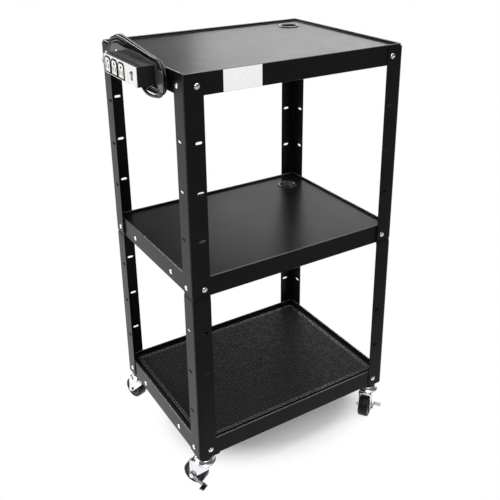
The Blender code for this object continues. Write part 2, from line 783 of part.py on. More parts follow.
def axle_mesh(pedal_side):
    """Bolt through fork and hub; pedal_side is how far its head stands off the fork."""
    near = FORK_OUTER + SEAT_GAP
    far = near + pedal_side
    profile = [
        (0, -near - AXLE_HEAD_HEIGHT),
        (AXLE_HEAD_RADIUS, -near - AXLE_HEAD_HEIGHT),
        (AXLE_HEAD_RADIUS, -near),
        (AXLE_RADIUS, -near),
        (AXLE_RADIUS, far),
        (AXLE_HEAD_RADIUS, far),
        (AXLE_HEAD_RADIUS, far + AXLE_HEAD_HEIGHT),
        (0, far + AXLE_HEAD_HEIGHT),
    ]
    return turned_mesh("axle", profile, HEX_STEPS, along_y(0, 0, 0), hexes=(1, 2, 5, 6))


def tyre_mesh():
    half = TREAD_WIDTH / 2
    bead = TYRE_BEAD_WIDTH / 2
    bore = running_bore(HUB_RADIUS, WHEEL_STEPS)
    profile = [
        (bore, -bead),
        (WHEEL_RADIUS - TYRE_SHOULDER, -half),
        (WHEEL_RADIUS, -half + TYRE_SHOULDER),
        (WHEEL_RADIUS, half - TYRE_SHOULDER),
        (WHEEL_RADIUS - TYRE_SHOULDER, half),
        (bore, bead),
    ]
    return turned_mesh("tyre", profile, WHEEL_STEPS, along_y(0, 0, 0))


def hub_mesh():
    """Wheel core: rim, thin web and a long boss on the axle."""
    bore = running_bore(AXLE_RADIUS, HUB_STEPS)
    rim = HUB_RADIUS - HUB_RIM_DEPTH
    half = TYRE_BEAD_WIDTH / 2
    web = HUB_WEB_WIDTH / 2
    boss = HUB_BOSS_WIDTH / 2
    profile = [
        (bore, -boss),
        (HUB_BOSS_RADIUS, -boss),
        (HUB_BOSS_RADIUS, -web),
        (rim, -web),
        (rim, -half),
        (HUB_RADIUS, -half),
        (HUB_RADIUS, half),
        (rim, half),
        (rim, web),
        (HUB_BOSS_RADIUS, web),
        (HUB_BOSS_RADIUS, boss),
        (bore, boss),
    ]
    return turned_mesh("hub", profile, HUB_STEPS, along_y(0, 0, 0))


def pedal_mesh():
    """Side brake lever from the axle's eye, bowed round the tyre, with a tread at its tip."""
    near = FORK_OUTER + SEAT_GAP
    tip = Vector((-PEDAL_REACH, -PEDAL_TIP_DROP))
    along = tip.normalized()
    across = Vector((-along.y, along.x))
    heading = math.degrees(math.atan2(along.y, along.x))
    middle = tip / 2 + across * PEDAL_BOW
    half = PEDAL_ARM_WIDTH / 2
    outline = arc((0, 0), PEDAL_EYE_RADIUS, heading + 60, heading + 300, BEND_STEPS * 3)
    outline += [tuple(middle - across * half), tuple(tip - across * half)]
    outline += [tuple(tip + across * half), tuple(middle + across * half)]
    bm = bmesh.new()
    prism(bm, outline, "Y", near, near + PEDAL_STEEL)
    lever = finish_mesh(bm, "pedal")
    tread = bmesh.new()
    base = rounded_rectangle(
        (-PEDAL_REACH - PEDAL_TREAD_LENGTH / 2, -PEDAL_TIP_DROP - PEDAL_TREAD_THICKNESS / 2),
        (-PEDAL_REACH + PEDAL_TREAD_LENGTH / 2, -PEDAL_TIP_DROP + PEDAL_TREAD_THICKNESS / 2),
        PEDAL_TREAD_THICKNESS / 3,
        1,
    )
    prism(tread, base, "Y", near, near + PEDAL_TREAD_WIDTH)
    lever = combine(lever, finish_mesh(tread, "tread"), "UNION")
    hole = bmesh.new()
    eye = circle((0, 0), running_bore(AXLE_RADIUS, PIN_STEPS), PIN_STEPS)
    prism(hole, eye, "Y", near - CUT_MARGIN, near + PEDAL_STEEL * 2)
    return smooth(carve(lever, hole))


def build_casters(cart, paints):
    bracket = bracket_mesh()
    race = upper_race_mesh()
    kingpin = kingpin_mesh()
    fork = fork_mesh()
    tyre = tyre_mesh()
    hub = hub_mesh()
    pedal = pedal_mesh()
    plain_axle = axle_mesh(0)
    brake_axle = axle_mesh(PEDAL_STEEL + SEAT_GAP * 2)
    for name, corner in corner_places():
        add_object(f"{name}_caster_bracket", bracket, paints["steel"], cart, corner)
        pivot = corner @ Vector((KINGPIN_INSET, KINGPIN_INSET, 0))
        centre = Matrix.Translation(pivot)
        add_object(f"{name}_caster_race", race, paints["zinc"], cart, centre)
        add_object(f"{name}_caster_kingpin", kingpin, paints["zinc"], cart, centre)
        heading = Matrix.Rotation(math.radians(CASTER_HEADINGS[name]), 4, "Z")
        swivel = add_empty(f"{name}_swivel", cart, centre @ heading)
        add_object(f"{name}_caster_fork", fork, paints["zinc"], swivel)
        axle_place = Matrix.Translation((CASTER_TRAIL, 0, AXLE_HEIGHT))
        braked = name.startswith("front")
        axle = brake_axle if braked else plain_axle
        add_object(f"{name}_caster_axle", axle, paints["zinc"], swivel, axle_place)
        spin = add_empty(f"{name}_spin", swivel, axle_place)
        add_object(f"{name}_wheel_tyre", tyre, paints["rubber"], spin)
        add_object(f"{name}_wheel_hub", hub, paints["grey"], spin)
        if braked:
            add_object(f"{name}_brake_pedal", pedal, paints["zinc"], swivel, axle_place)


# Power strip, heights given against the top rim


def height(above_rim):
    return TOP_RIM_HEIGHT + above_rim


def outlet_centres():
    return [OUTLET_FIRST + OUTLET_PITCH * i for i in range(3)]


def outlet_outline(centre, grow):
    """An outlet's face: square foot, well rounded head."""
    half = OUTLET_WIDTH / 2 + grow
    foot = height(-OUTLET_LEVEL) - OUTLET_HEIGHT / 2 - grow
    head = foot + OUTLET_HEIGHT + grow * 2
    radius = OUTLET_ROUNDING + grow
    outline = [(centre - half, foot), (centre + half, foot)]
    outline += arc((centre + half - radius, head - radius), radius, 0, 90, BEND_STEPS)
    outline += arc((centre - half + radius, head - radius), radius, 90, 180, BEND_STEPS)
    return outline


def rocker_window(grow):
    level = height(-OUTLET_LEVEL)
    half_width = ROCKER_WIDTH / 2 + grow
    half_height = ROCKER_HEIGHT / 2 + grow
    return [
        (ROCKER_CENTRE - half_width, level - half_height),
        (ROCKER_CENTRE + half_width, level - half_height),
        (ROCKER_CENTRE + half_width, level + half_height),
        (ROCKER_CENTRE - half_width, level + half_height),
    ]


def housing_mesh():
    """Closed box with a long step on top, rounded edges and pockets for what it carries."""
    step = -HOUSING_FRONT + HOUSING_STEP_FROM_FRONT
    top = height(HOUSING_TOP)
    outline = [
        (-HOUSING_BACK, height(-HOUSING_BOTTOM)),
        (-HOUSING_BACK, top),
        (step, top),
        (step, top - HOUSING_STEP),
        (-HOUSING_FRONT, top - HOUSING_STEP),
        (-HOUSING_FRONT, height(-HOUSING_BOTTOM)),
    ]
    bm = bmesh.new()
    prism(bm, outline, "Y", HOUSING_NEAR_END, HOUSING_FAR_END)
    long_edges = [e for e in bm.edges if all(v.co.x > -HOUSING_FRONT + FIT_GAP for v in e.verts)]
    long_edges = [e for e in long_edges if any(abs(v.co.x + HOUSING_BACK) < FIT_GAP for v in e.verts)]
    bmesh.ops.recalc_face_normals(bm, faces=bm.faces)
    bmesh.ops.bevel(bm, geom=long_edges, offset=HOUSING_ROUNDING, segments=2, affect="EDGES", profile=0.5)
    body = finish_mesh(bm, "housing")
    cutter = bmesh.new()
    front = -HOUSING_FRONT - CUT_MARGIN
    for centre in outlet_centres():
        pocket = outlet_outline(centre, FIT_GAP)
        prism(cutter, pocket, "X", front, -FACE_OUT + OUTLET_DEPTH + SEAT_GAP)
    prism(cutter, rocker_window(FIT_GAP), "X", front, -FACE_OUT + ROCKER_POCKET_DEPTH)
    body = carve(body, cutter)
    bearing = bmesh.new()
    pivot = (-FACE_OUT + ROCKER_PIVOT_DEPTH, height(-OUTLET_LEVEL))
    reach = ROCKER_WIDTH / 2 + ROCKER_STUB_LENGTH + SEAT_GAP
    hole = circle(pivot, running_bore(ROCKER_STUB_RADIUS, HOLE_STEPS), HOLE_STEPS)
    prism(bearing, hole, "Y", ROCKER_CENTRE - reach, ROCKER_CENTRE + reach)
    return smooth(carve(body, bearing))


def faceplate_mesh():
    """White front plate with windows for the outlets and the switch."""
    low = (HOUSING_NEAR_END, height(-HOUSING_BOTTOM))
    high = (HOUSING_FAR_END, height(HOUSING_TOP) - HOUSING_STEP)
    outline = rounded_rectangle(low, high, FACEPLATE_ROUNDING, 2)
    bm = bmesh.new()
    prism(bm, outline, "X", -FACE_OUT, -HOUSING_FRONT - SEAT_GAP)
    cutter = bmesh.new()
    start = -FACE_OUT - CUT_MARGIN
    for centre in outlet_centres():
        prism(cutter, outlet_outline(centre, FIT_GAP), "X", start, -HOUSING_FRONT + CUT_MARGIN)
    prism(cutter, rocker_window(FIT_GAP), "X", start, -HOUSING_FRONT + CUT_MARGIN)
    return smooth(carve(finish_mesh(bm, "faceplate"), cutter))


def receptacle_mesh(centre):
    """Outlet body, a little proud of the plate, with two blade slots and a ground hole."""
    front = -FACE_OUT - OUTLET_PROUD
    bm = bmesh.new()
    prism(bm, outlet_outline(centre, 0), "X", front, -FACE_OUT + OUTLET_DEPTH)
    level = height(-OUTLET_LEVEL)
    cutter = bmesh.new()
    for side in (-1, 1):
        middle = centre + side * BLADE_SLOT_SPACING / 2
        low = level - BLADE_SLOT_DROP - BLADE_SLOT_HEIGHT / 2
        outline = [
            (middle - BLADE_SLOT_WIDTH / 2, low),
            (middle + BLADE_SLOT_WIDTH / 2, low),
            (middle + BLADE_SLOT_WIDTH / 2, low + BLADE_SLOT_HEIGHT),
            (middle - BLADE_SLOT_WIDTH / 2, low + BLADE_SLOT_HEIGHT),
        ]
        prism(cutter, outline, "X", front - CUT_MARGIN, front + BLADE_SLOT_DEPTH)
    ground = circle((centre, level + GROUND_HOLE_RISE), GROUND_HOLE_RADIUS, PIN_STEPS)
    prism(cutter, ground, "X", front - CUT_MARGIN, front + BLADE_SLOT_DEPTH)
    return smooth(carve(finish_mesh(bm, "receptacle"), cutter))


def rocker_mesh():
    """Rocker round its pivot at the origin: a shallow V in front, stubs at both sides."""
    half = ROCKER_HEIGHT / 2 - ROCKER_SWING_GAP
    outline = [
        (-ROCKER_CREST, half),
        (-ROCKER_VALLEY, 0),
        (-ROCKER_CREST, -half),
        (ROCKER_TAIL, -ROCKER_TAIL_HALF),
        (ROCKER_TAIL, ROCKER_TAIL_HALF),
    ]
    bm = bmesh.new()
    prism(bm, outline, "Y", -ROCKER_WIDTH / 2, ROCKER_WIDTH / 2)
    stubs = bmesh.new()
    reach = ROCKER_WIDTH / 2 + ROCKER_STUB_LENGTH
    prism(stubs, circle((0, 0), ROCKER_STUB_RADIUS, HOLE_STEPS), "Y", -reach, reach)
    return smooth(combine(finish_mesh(bm, "rocker"), finish_mesh(stubs, "stubs"), "UNION"))


def build_power_strip(cart, paints):
    add_object("power_housing", housing_mesh(), paints["plastic"], cart)
    add_object("outlet_faceplate", faceplate_mesh(), paints["white"], cart)
    for index, centre in enumerate(outlet_centres(), start=1):
        add_object(f"outlet_receptacle_{index}", receptacle_mesh(centre), paints["white"], cart)
    pivot = (-FACE_OUT + ROCKER_PIVOT_DEPTH, ROCKER_CENTRE, height(-OUTLET_LEVEL))
    tilt = Matrix.Rotation(math.radians(-ROCKER_TILT), 4, "Y")
    add_object("rocker_switch", rocker_mesh(), paints["plastic"], cart, Matrix.Translation(pivot) @ tilt)


# Winder


def winder_plate_outline():
    """Outer plate: front ear, long back raised towards the rear lobe."""
    level = height(0)
    ear = WINDER_EAR_ROUNDING
    far = WINDER_FAR_ROUNDING
    top = WINDER_TOP
    outline = [(WINDER_EAR_BACK, level - WINDER_EAR_BOTTOM)]
    outline += [(WINDER_EAR_KNEE, level - WINDER_WAIST_BOTTOM)]
    outline += [(WINDER_LOBE_START, level - WINDER_WAIST_BOTTOM)]
    outline += [(WINDER_LOBE_START + ear, level - WINDER_EAR_BOTTOM)]
    low_corner = (WINDER_FAR_END - far, level - WINDER_EAR_BOTTOM + far)
    outline += arc(low_corner, far, -90, 0, BEND_STEPS * 2)
    high_corner = (WINDER_FAR_END - far, level + top - far)
    outline += arc(high_corner, far, 0, 90, BEND_STEPS * 2)
    outline += [(WINDER_TOP_START, level + top)]
    outline += [(WINDER_NOSE, level + WINDER_NOSE_TOP)]
    outline += [(WINDER_EAR_KNEE, level + WINDER_EAR_TOP)]
    outline += arc((WINDER_NEAR_END + ear, level + WINDER_EAR_TOP - ear), ear, 90, 180, BEND_STEPS)
    outline += arc((WINDER_NEAR_END + ear, level - WINDER_EAR_BOTTOM + ear), ear, 180, 270, BEND_STEPS)
    return outline


def winder_back_outline():
    """Inner plate: low in front, where the apron backs it, and raised at its far end."""
    low = height(-WINDER_BACK_BOTTOM)
    high = height(WINDER_BACK_TOP)
    near_top = height(-WINDER_BACK_NEAR_DROP)
    radius = WINDER_BACK_ROUNDING
    near = WINDER_BACK_NEAR_END + radius
    far = WINDER_BACK_FAR_END - radius
    outline = arc((far, low + radius), radius, 270, 360, BEND_STEPS)
    outline += arc((far, high - radius), radius, 0, 90, BEND_STEPS)
    outline += [(WINDER_BACK_TOP_START, high)]
    outline += arc((near, near_top - radius), radius, 90, 180, BEND_STEPS)
    outline += arc((near, low + radius), radius, 180, 270, BEND_STEPS)
    return outline


def post_centres():
    front = (WIND_FRONT[0], height(WIND_FRONT[1]))
    back = (BACK_POST_ALONG, height(BACK_POST_HEIGHT))
    return front, back


def winder_sheet(outline, low, high, name):
    """A flat sheet of the winder with its two screw holes."""
    bm = bmesh.new()
    prism(bm, outline, "X", low, high)
    cutter = bmesh.new()
    for centre in post_centres():
        hole = circle(centre, POST_SCREW_RADIUS, HOLE_STEPS)
        prism(cutter, hole, "X", low - CUT_MARGIN, high + CUT_MARGIN)
    return smooth(carve(finish_mesh(bm, name), cutter))


def build_winder(cart, paints):
    plate_inner = -WINDER_PLATE_OUT + WINDER_STEEL
    plate = winder_sheet(winder_plate_outline(), -WINDER_PLATE_OUT, plate_inner, "winder_plate")
    add_object("winder_plate", plate, paints["winder"], cart)
    back_high = SHELF_INSET - SEAT_GAP
    back_low = back_high - WINDER_STEEL
    back = winder_sheet(winder_back_outline(), back_low, back_high, "winder_back_plate")
    add_object("winder_back_plate", back, paints["steel"], cart)
    start = plate_inner + SEAT_GAP
    length = back_low - SEAT_GAP - start
    names = ("winder_front_post", "winder_back_post")
    radii = (FRONT_POST_RADIUS, BACK_POST_RADIUS)
    for name, centre, radius in zip(names, post_centres(), radii):
        profile = [(POST_SCREW_RADIUS, 0), (radius, 0), (radius, length), (POST_SCREW_RADIUS, length)]
        post = turned_mesh(name, profile, RACE_STEPS, along_x(start, *centre))
        add_object(name, post, paints["plastic"], cart)


# Wound mains lead


def edge_normal(start, end):
    """Outward normal angle of an edge walked counterclockwise, in degrees."""
    return math.degrees(math.atan2(end[1] - start[1], end[0] - start[0])) - 90


def wind_stations():
    """One turn's stations as (corner, share towards the next corner, normal angle)."""
    corners = [WIND_BACK_MIDDLE, WIND_BACK_HIGH, WIND_FRONT, WIND_BACK_LOW]
    arc_steps = [3, 1, 8, 4]
    edge_stops = [0, 2, 3, 0]
    stations = []
    count = len(corners)
    for i, corner in enumerate(corners):
        before = edge_normal(corners[i - 1], corner) % 360
        following = corners[(i + 1) % count]
        after = edge_normal(corner, following) % 360
        if i == 0:
            before -= 360 if before > 180 else 0
        if after < before:
            after += 360
        for step in range(arc_steps[i] + 1):
            stations.append((corner, before + (after - before) * step / arc_steps[i]))
        for stop in range(edge_stops[i]):
            share = (stop + 1) / (edge_stops[i] + 1)
            between = (
                corner[0] + (following[0] - corner[0]) * share,
                corner[1] + (following[1] - corner[1]) * share,
            )
            stations.append((between, after))
    return stations


def station_point(station, offset):
    base, angle = station
    turn = math.radians(angle)
    return Vector((base[0] + offset * math.cos(turn), base[1] + offset * math.sin(turn)))


def station_phases(stations):
    """How far round one mean turn each station lies, from 0 to 1."""
    points = [station_point(station, MEAN_OFFSET) for station in stations]
    lengths = [(b - a).length for a, b in zip(points, points[1:] + points[:1])]
    total = sum(lengths)
    return [sum(lengths[:i]) / total for i in range(len(points))]


def ease(value):
    value = min(max(value, 0), 1)
    return value * value * (3 - 2 * value)


def wind_offset(turns):
    """Distance from the corners: steadily in to the reversal and steadily out again."""
    inner = WIND_FIRST_OFFSET - CORD_PITCH * WIND_REVERSE_TURN
    return inner + CORD_PITCH * abs(turns - WIND_REVERSE_TURN)


def wind_lane(turns):
    """The lane's X: inboard first, outboard after the climb in the reversing half turn."""
    climb = ease((turns - WIND_CLIMB_START) / WIND_CLIMB_TURNS)
    return INBOARD_LANE - CORD_PITCH * climb


def wound_points():
    """The wound stretch, from where the lead joins it to where the tail leaves it."""
    stations = wind_stations()
    phases = station_phases(stations)
    last = [i for i, station in enumerate(stations) if station[0] == WIND_FRONT][-1]
    points = []
    for loop in range(WIND_LAST_LOOP + 1):
        for i, station in enumerate(stations):
            if loop == WIND_LAST_LOOP and i > last:
                break
            turns = loop + phases[i]
            flat = station_point(station, wind_offset(turns))
            points.append(Vector((wind_lane(turns), flat.x, height(flat.y))))
    return points


def smooth_route(points, steps):
    """A smooth curve through every point, with some steps between each two."""
    route = []
    for i in range(1, len(points) - 2):
        p0, p1, p2, p3 = points[i - 1:i + 3]
        for step in range(steps):
            t = step / steps
            a = p1 * 2
            b = (p2 - p0) * t
            c = (p0 * 2 - p1 * 5 + p2 * 4 - p3) * t ** 2
            d = (p1 * 3 - p0 - p2 * 3 + p3) * t ** 3
            route.append((a + b + c + d) / 2)
    return route


def cord_route():
    """Straight out of the strain relief, onto the winder, round it, and into the plug."""
    start_y = HOUSING_FAR_END + SEAT_GAP * 2 + RELIEF_LENGTH
    start = Vector((-RELIEF_OUT, start_y, height(-RELIEF_LEVEL)))
    straight = start + Vector((0, CORD_DIAMETER, 0))
    wound = wound_points()
    lead = [Vector((x, y, height(z))) for x, y, z in LEAD_POINTS]
    lead = smooth_route([start, straight] + lead + wound[:2], 1)
    end = Vector((-PLUG_OUT, PLUG_START - SEAT_GAP, height(-PLUG_LEVEL)))
    square = end - Vector((0, CORD_DIAMETER, 0))
    tail = [Vector((x, y, height(z))) for x, y, z in TAIL_POINTS]
    tail = smooth_route(wound[-2:] + tail + [square, end], 1)
    return [start] + lead + wound + tail[1:] + [square, end]


def segment_distance(a, b, c, d):
    """Least distance between the segments a-b and c-d, sampled along both."""
    best = None
    for i in range(5):
        p = a.lerp(b, i / 4)
        along = d - c
        share = min(max((p - c).dot(along) / along.length_squared, 0), 1)
        gap = (p - c.lerp(d, share)).length
        best = gap if best is None else min(best, gap)
    return best


def least_self_gap(points):
    """Least gap between stretches of the cord that are over three diameters apart along it."""
    lengths = [0]
    for a, b in zip(points, points[1:]):
        lengths.append(lengths[-1] + (b - a).length)
    best = None
    for i in range(len(points) - 1):
        for j in range(i + 1, len(points) - 1):
            if lengths[j] - lengths[i + 1] < CORD_DIAMETER * 3:
                continue
            if (points[i] - points[j]).length > CORD_DIAMETER * 9:
                continue
            gap = segment_distance(points[i], points[i + 1], points[j], points[j + 1])
            best = gap if best is None else min(best, gap)
    return best - CORD_DIAMETER, lengths[-1]


def build_cord(cart, paints):
    points = cord_route()
    curve = bpy.data.curves.new("power_cord", "CURVE")
    curve.dimensions = "3D"
    curve.bevel_depth = CORD_DIAMETER / 2
    curve.bevel_resolution = 1
    curve.use_fill_caps = True
    spline = curve.splines.new("POLY")
    spline.points.add(len(points) - 1)
    for target, point in zip(spline.points, points):
        target.co = (*point, 1)
    curve.materials.append(paints["cord"])
    cord = bpy.data.objects.new("power_cord", curve)
    bpy.context.scene.collection.objects.link(cord)
    cord.parent = cart
    gap, length = least_self_gap(points)
    print(f"cord: {len(points)} points, length {length:.4f} m, least gap to itself {gap * 1000:.3f} mm")


def build_relief(cart, paints):
    profile = [
        (0, 0),
        (RELIEF_FLANGE_RADIUS, 0),
        (RELIEF_FLANGE_RADIUS, RELIEF_FLANGE_LENGTH),
        (RELIEF_BASE_RADIUS, RELIEF_FLANGE_LENGTH),
        (RELIEF_TIP_RADIUS, RELIEF_LENGTH),
        (0, RELIEF_LENGTH),
    ]
    place = along_y(-RELIEF_OUT, HOUSING_FAR_END + SEAT_GAP, height(-RELIEF_LEVEL))
    relief = turned_mesh("cord_strain_relief", profile, PIN_STEPS, place)
    add_object("cord_strain_relief", relief, paints["cord"], cart)


def plug_ring(y, half_width, half_height, radius):
    centre = (-PLUG_OUT, height(-PLUG_LEVEL))
    low = (centre[0] - half_width, centre[1] - half_height)
    high = (centre[0] + half_width, centre[1] + half_height)
    return [(x, y, z) for x, z in rounded_rectangle(low, high, radius, BEND_STEPS)]


def build_plug(cart, paints):
    """Moulded plug: round neck at the cord, tapering out to a block that carries the pins."""
    taper = PLUG_START + PLUG_NECK_LENGTH
    block = taper + PLUG_TAPER_LENGTH
    face = PLUG_START + PLUG_LENGTH
    neck = PLUG_NECK_RADIUS
    narrow = neck - SEAT_GAP
    bm = bmesh.new()
    rings = [plug_ring(PLUG_START, neck, neck, narrow), plug_ring(taper, neck, neck, narrow)]
    rings += [plug_ring(block, PLUG_WIDTH / 2, PLUG_HEIGHT / 2, PLUG_ROUNDING)]
    rings += [plug_ring(face, PLUG_WIDTH / 2, PLUG_HEIGHT / 2, PLUG_ROUNDING)]
    loft(bm, rings)
    add_object("plug_body", smooth(finish_mesh(bm, "plug_body")), paints["cord"], cart)
    start = face + SEAT_GAP
    level = height(-PLUG_LEVEL)
    left = -PLUG_OUT - BLADE_OFFSET - BLADE_WIDTH / 2
    for index, side in enumerate((-1, 1), start=1):
        middle = level + side * BLADE_SPACING / 2
        outline = [
            (left, middle - BLADE_THICKNESS / 2),
            (left + BLADE_WIDTH, middle - BLADE_THICKNESS / 2),
            (left + BLADE_WIDTH, middle + BLADE_THICKNESS / 2),
            (left, middle + BLADE_THICKNESS / 2),
        ]
        bm = bmesh.new()
        prism(bm, outline, "Y", start, start + BLADE_LENGTH)
        name = f"plug_blade_{index}"
        add_object(name, finish_mesh(bm, name), paints["brass"], cart)
    profile = [(0, 0), (GROUND_PIN_RADIUS, 0), (GROUND_PIN_RADIUS, GROUND_PIN_LENGTH), (0, GROUND_PIN_LENGTH)]
    place = along_y(-PLUG_OUT + GROUND_PIN_OFFSET, start, level)
    pin = turned_mesh("plug_ground_pin", profile, PIN_STEPS, place)
    add_object("plug_ground_pin", pin, paints["brass"], cart)


def centre_on_base(cart, loose_names):
    """Moves the cart so that the middle of its base, measured without its cord, is the origin."""
    bpy.context.view_layer.update()
    corners = []
    for obj in bpy.context.scene.objects:
        if obj.type == "MESH" and obj.name not in loose_names:
            corners += [obj.matrix_world @ vertex.co for vertex in obj.data.vertices]
    low = [min(corner[i] for corner in corners) for i in range(3)]
    high = [max(corner[i] for corner in corners) for i in range(3)]
    shift = Vector((-(low[0] + high[0]) / 2, -(low[1] + high[1]) / 2, -low[2]))
    cart.location = shift
    bpy.context.view_layer.update()
    print("cart moved by", [round(value, 6) for value in shift])


def main():
    clear_scene()
    paints = {
        "steel": make_material("black powder coat", (0.022, 0.022, 0.024), 0.42, 0.0),
        "winder": make_material("grey powder coat", (0.10, 0.10, 0.11), 0.45, 0.0),
        "zinc": make_material("bright zinc plate", (0.78, 0.79, 0.80), 0.28, 1.0),
        "rubber": make_material("black rubber", (0.018, 0.018, 0.018), 0.75, 0.0),
        "grey": make_material("wheel core plastic", (0.05, 0.05, 0.052), 0.45, 0.0),
        "plastic": make_material("black plastic", (0.028, 0.028, 0.030), 0.40, 0.0),
        "white": make_material("white plastic", (0.80, 0.80, 0.78), 0.35, 0.0),
        "cord": make_material("cord jacket", (0.015, 0.015, 0.016), 0.38, 0.0),
        "brass": make_material("nickelled brass", (0.72, 0.68, 0.58), 0.25, 1.0),
    }
    cart = add_empty("cart", None, Matrix.Identity(4))
    build_legs(cart, paints["steel"])
    build_shelves(cart, paints)
    build_casters(cart, paints)
    build_power_strip(cart, paints)
    build_winder(cart, paints)
    build_cord(cart, paints)
    build_relief(cart, paints)
    build_plug(cart, paints)
    cord_names = {"power_cord", "cord_strain_relief", "plug_body"}
    cord_names |= {"plug_blade_1", "plug_blade_2", "plug_ground_pin"}
    centre_on_base(cart, cord_names)


main()
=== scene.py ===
"""Looks of the audio visual cart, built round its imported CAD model.

Pieces are drawn in cart coordinates: X runs from the left legs' outer face to the right, Y
from the front legs' outer face to the back, Z up from the floor. CART moves them into the
shared frame. Sizes are in metres. The frame's, the lead's and the outlets' are the CAD model's.
"""

import json
import math

import bmesh
import bpy
from mathutils import Matrix, Vector


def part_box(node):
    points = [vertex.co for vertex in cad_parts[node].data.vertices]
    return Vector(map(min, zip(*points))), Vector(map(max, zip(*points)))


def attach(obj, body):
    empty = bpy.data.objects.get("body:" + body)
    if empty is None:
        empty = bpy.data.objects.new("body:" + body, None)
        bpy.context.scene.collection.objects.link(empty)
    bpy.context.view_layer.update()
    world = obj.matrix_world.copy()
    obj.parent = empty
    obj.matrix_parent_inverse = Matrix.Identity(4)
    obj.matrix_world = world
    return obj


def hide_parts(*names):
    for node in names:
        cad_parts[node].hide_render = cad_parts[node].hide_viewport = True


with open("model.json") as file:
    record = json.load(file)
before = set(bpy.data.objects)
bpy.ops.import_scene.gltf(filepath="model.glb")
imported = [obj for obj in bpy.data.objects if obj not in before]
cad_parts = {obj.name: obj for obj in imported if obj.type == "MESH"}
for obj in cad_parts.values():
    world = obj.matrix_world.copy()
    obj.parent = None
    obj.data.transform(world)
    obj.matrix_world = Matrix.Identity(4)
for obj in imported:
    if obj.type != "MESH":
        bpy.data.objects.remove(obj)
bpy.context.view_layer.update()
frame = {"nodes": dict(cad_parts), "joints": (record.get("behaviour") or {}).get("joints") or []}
nodes = frame["nodes"]

# Frame and shelves
WIDTH = 0.6096
DEPTH = 0.4674
TOP_RIM = 1.120
MIDDLE_RIM = 0.630
BOTTOM_RIM = 0.156
SEAT_GAP = 0.0003
HAIR_GAP = 0.0001
LEG_STEEL = 0.002
SHELF_STEEL = 0.0015
APRON_HEIGHT = 0.0515
RIM_WIDTH = 0.004
BOTTOM_DECK_DROP = 0.0108
SHELF_INSET = LEG_STEEL + SEAT_GAP
NESTED_INSET = 2 * SHELF_INSET
HOLE_LINE = 0.03175
BOLT_DROP = 0.0285
APRON_BOLT_SPACING = 0.219
SIDE_BOLTS = (DEPTH / 2 - APRON_BOLT_SPACING / 2, DEPTH / 2 + APRON_BOLT_SPACING / 2)
SHELVES = (
    ("top", TOP_RIM, SHELF_INSET),
    ("middle", MIDDLE_RIM, NESTED_INSET),
    ("bottom", BOTTOM_RIM, SHELF_INSET),
)
CORNERS = ("front_left", "front_right", "back_right", "back_left")

corner_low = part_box("front_left_upper_leg")[0]
CART = Vector((corner_low.x, corner_low.y, 0))


# Camera, fitted to the photograph

LENS_MM = 51.975
SENSOR_MM = 36
CAMERA_SHIFT = (-0.02257, -0.14478)
CAMERA_PLACE = Vector((-0.64549, -1.32453, 1.46953))
CAMERA_TURN = (1.19479, 0.00501, -0.56513)
VIEW_END = 50


def make_camera():
    data = bpy.data.cameras.new("camera")
    data.lens = LENS_MM
    data.sensor_width = SENSOR_MM
    data.shift_x, data.shift_y = CAMERA_SHIFT
    data.clip_end = VIEW_END
    camera = bpy.data.objects.new("camera", data)
    camera.location = CART + CAMERA_PLACE
    camera.rotation_euler = CAMERA_TURN
    bpy.context.scene.collection.objects.link(camera)
    bpy.context.scene.camera = camera


# Helpers for pieces

LEAST_RADIUS = 0.0001
EDGE_ANGLES = (90, 60, 30, 0)
FASTENER_SHARP_ANGLE = math.radians(28)


def link(name, data, material, body="frame", place=None):
    """Adds a piece in cart coordinates, gives it its material and lets it ride on a body."""
    obj = bpy.data.objects.new(name, data)
    bpy.context.scene.collection.objects.link(obj)
    data.materials.clear()
    data.materials.append(material)
    obj.matrix_world = Matrix.Translation(CART) @ (place or Matrix.Identity(4))
    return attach(obj, body)


def finish_mesh(bm, name, smooth_angle=32):
    bmesh.ops.recalc_face_normals(bm, faces=bm.faces)
    mesh = bpy.data.meshes.new(name)
    bm.to_mesh(mesh)
    bm.free()
    mesh.shade_smooth()
    mesh.set_sharp_from_angle(angle=math.radians(smooth_angle))
    return mesh


def turned(bm, profile, steps, place=None):
    """Turns (radius, height) points round Z; a profile that leaves the axis closes on itself."""
    place = place or Matrix.Identity(4)
    rows = []
    for radius, height in profile:
        if radius == 0:
            rows.append([bm.verts.new(place @ Vector((0, 0, height)))])
            continue
        angles = [2 * math.pi * i / steps for i in range(steps)]
        points = [Vector((radius * math.cos(a), radius * math.sin(a), height)) for a in angles]
        rows.append([bm.verts.new(place @ point) for point in points])
    pairs = list(zip(rows, rows[1:]))
    if profile[0][0] != 0:
        pairs.append((rows[-1], rows[0]))
    for low, high in pairs:
        for i in range(steps):
            j = (i + 1) % steps
            ring = [low[i % len(low)], low[j % len(low)], high[j % len(high)], high[i % len(high)]]
            bm.faces.new(list(dict.fromkeys(ring)))


def skin(bm, pairs):
    """Faces between each pair of closed rows of vertices."""
    for low, high in pairs:
        for i in range(len(low)):
            j = (i + 1) % len(low)
            bm.faces.new((low[i], low[j], high[j], high[i]))


def loft(bm, rings, place=None):
    """A closed form through rings of points, capped at both ends."""
    place = place or Matrix.Identity(4)
    rows = [[bm.verts.new(place @ Vector(point)) for point in ring] for ring in rings]
    skin(bm, zip(rows, rows[1:]))
    bm.faces.new(rows[0][::-1])
    bm.faces.new(rows[-1])


def frame_loft(bm, rings):
    """A closed form like a picture frame: its rings run along it and the last meets the first."""
    rows = [[bm.verts.new(point) for point in ring] for ring in rings]
    skin(bm, zip(rows, rows[1:] + rows[:1]))


def arc(centre, radius, start, end, steps):
    angles = [math.radians(start + (end - start) * i / steps) for i in range(steps + 1)]
    return [(centre[0] + radius * math.cos(a), centre[1] + radius * math.sin(a)) for a in angles]


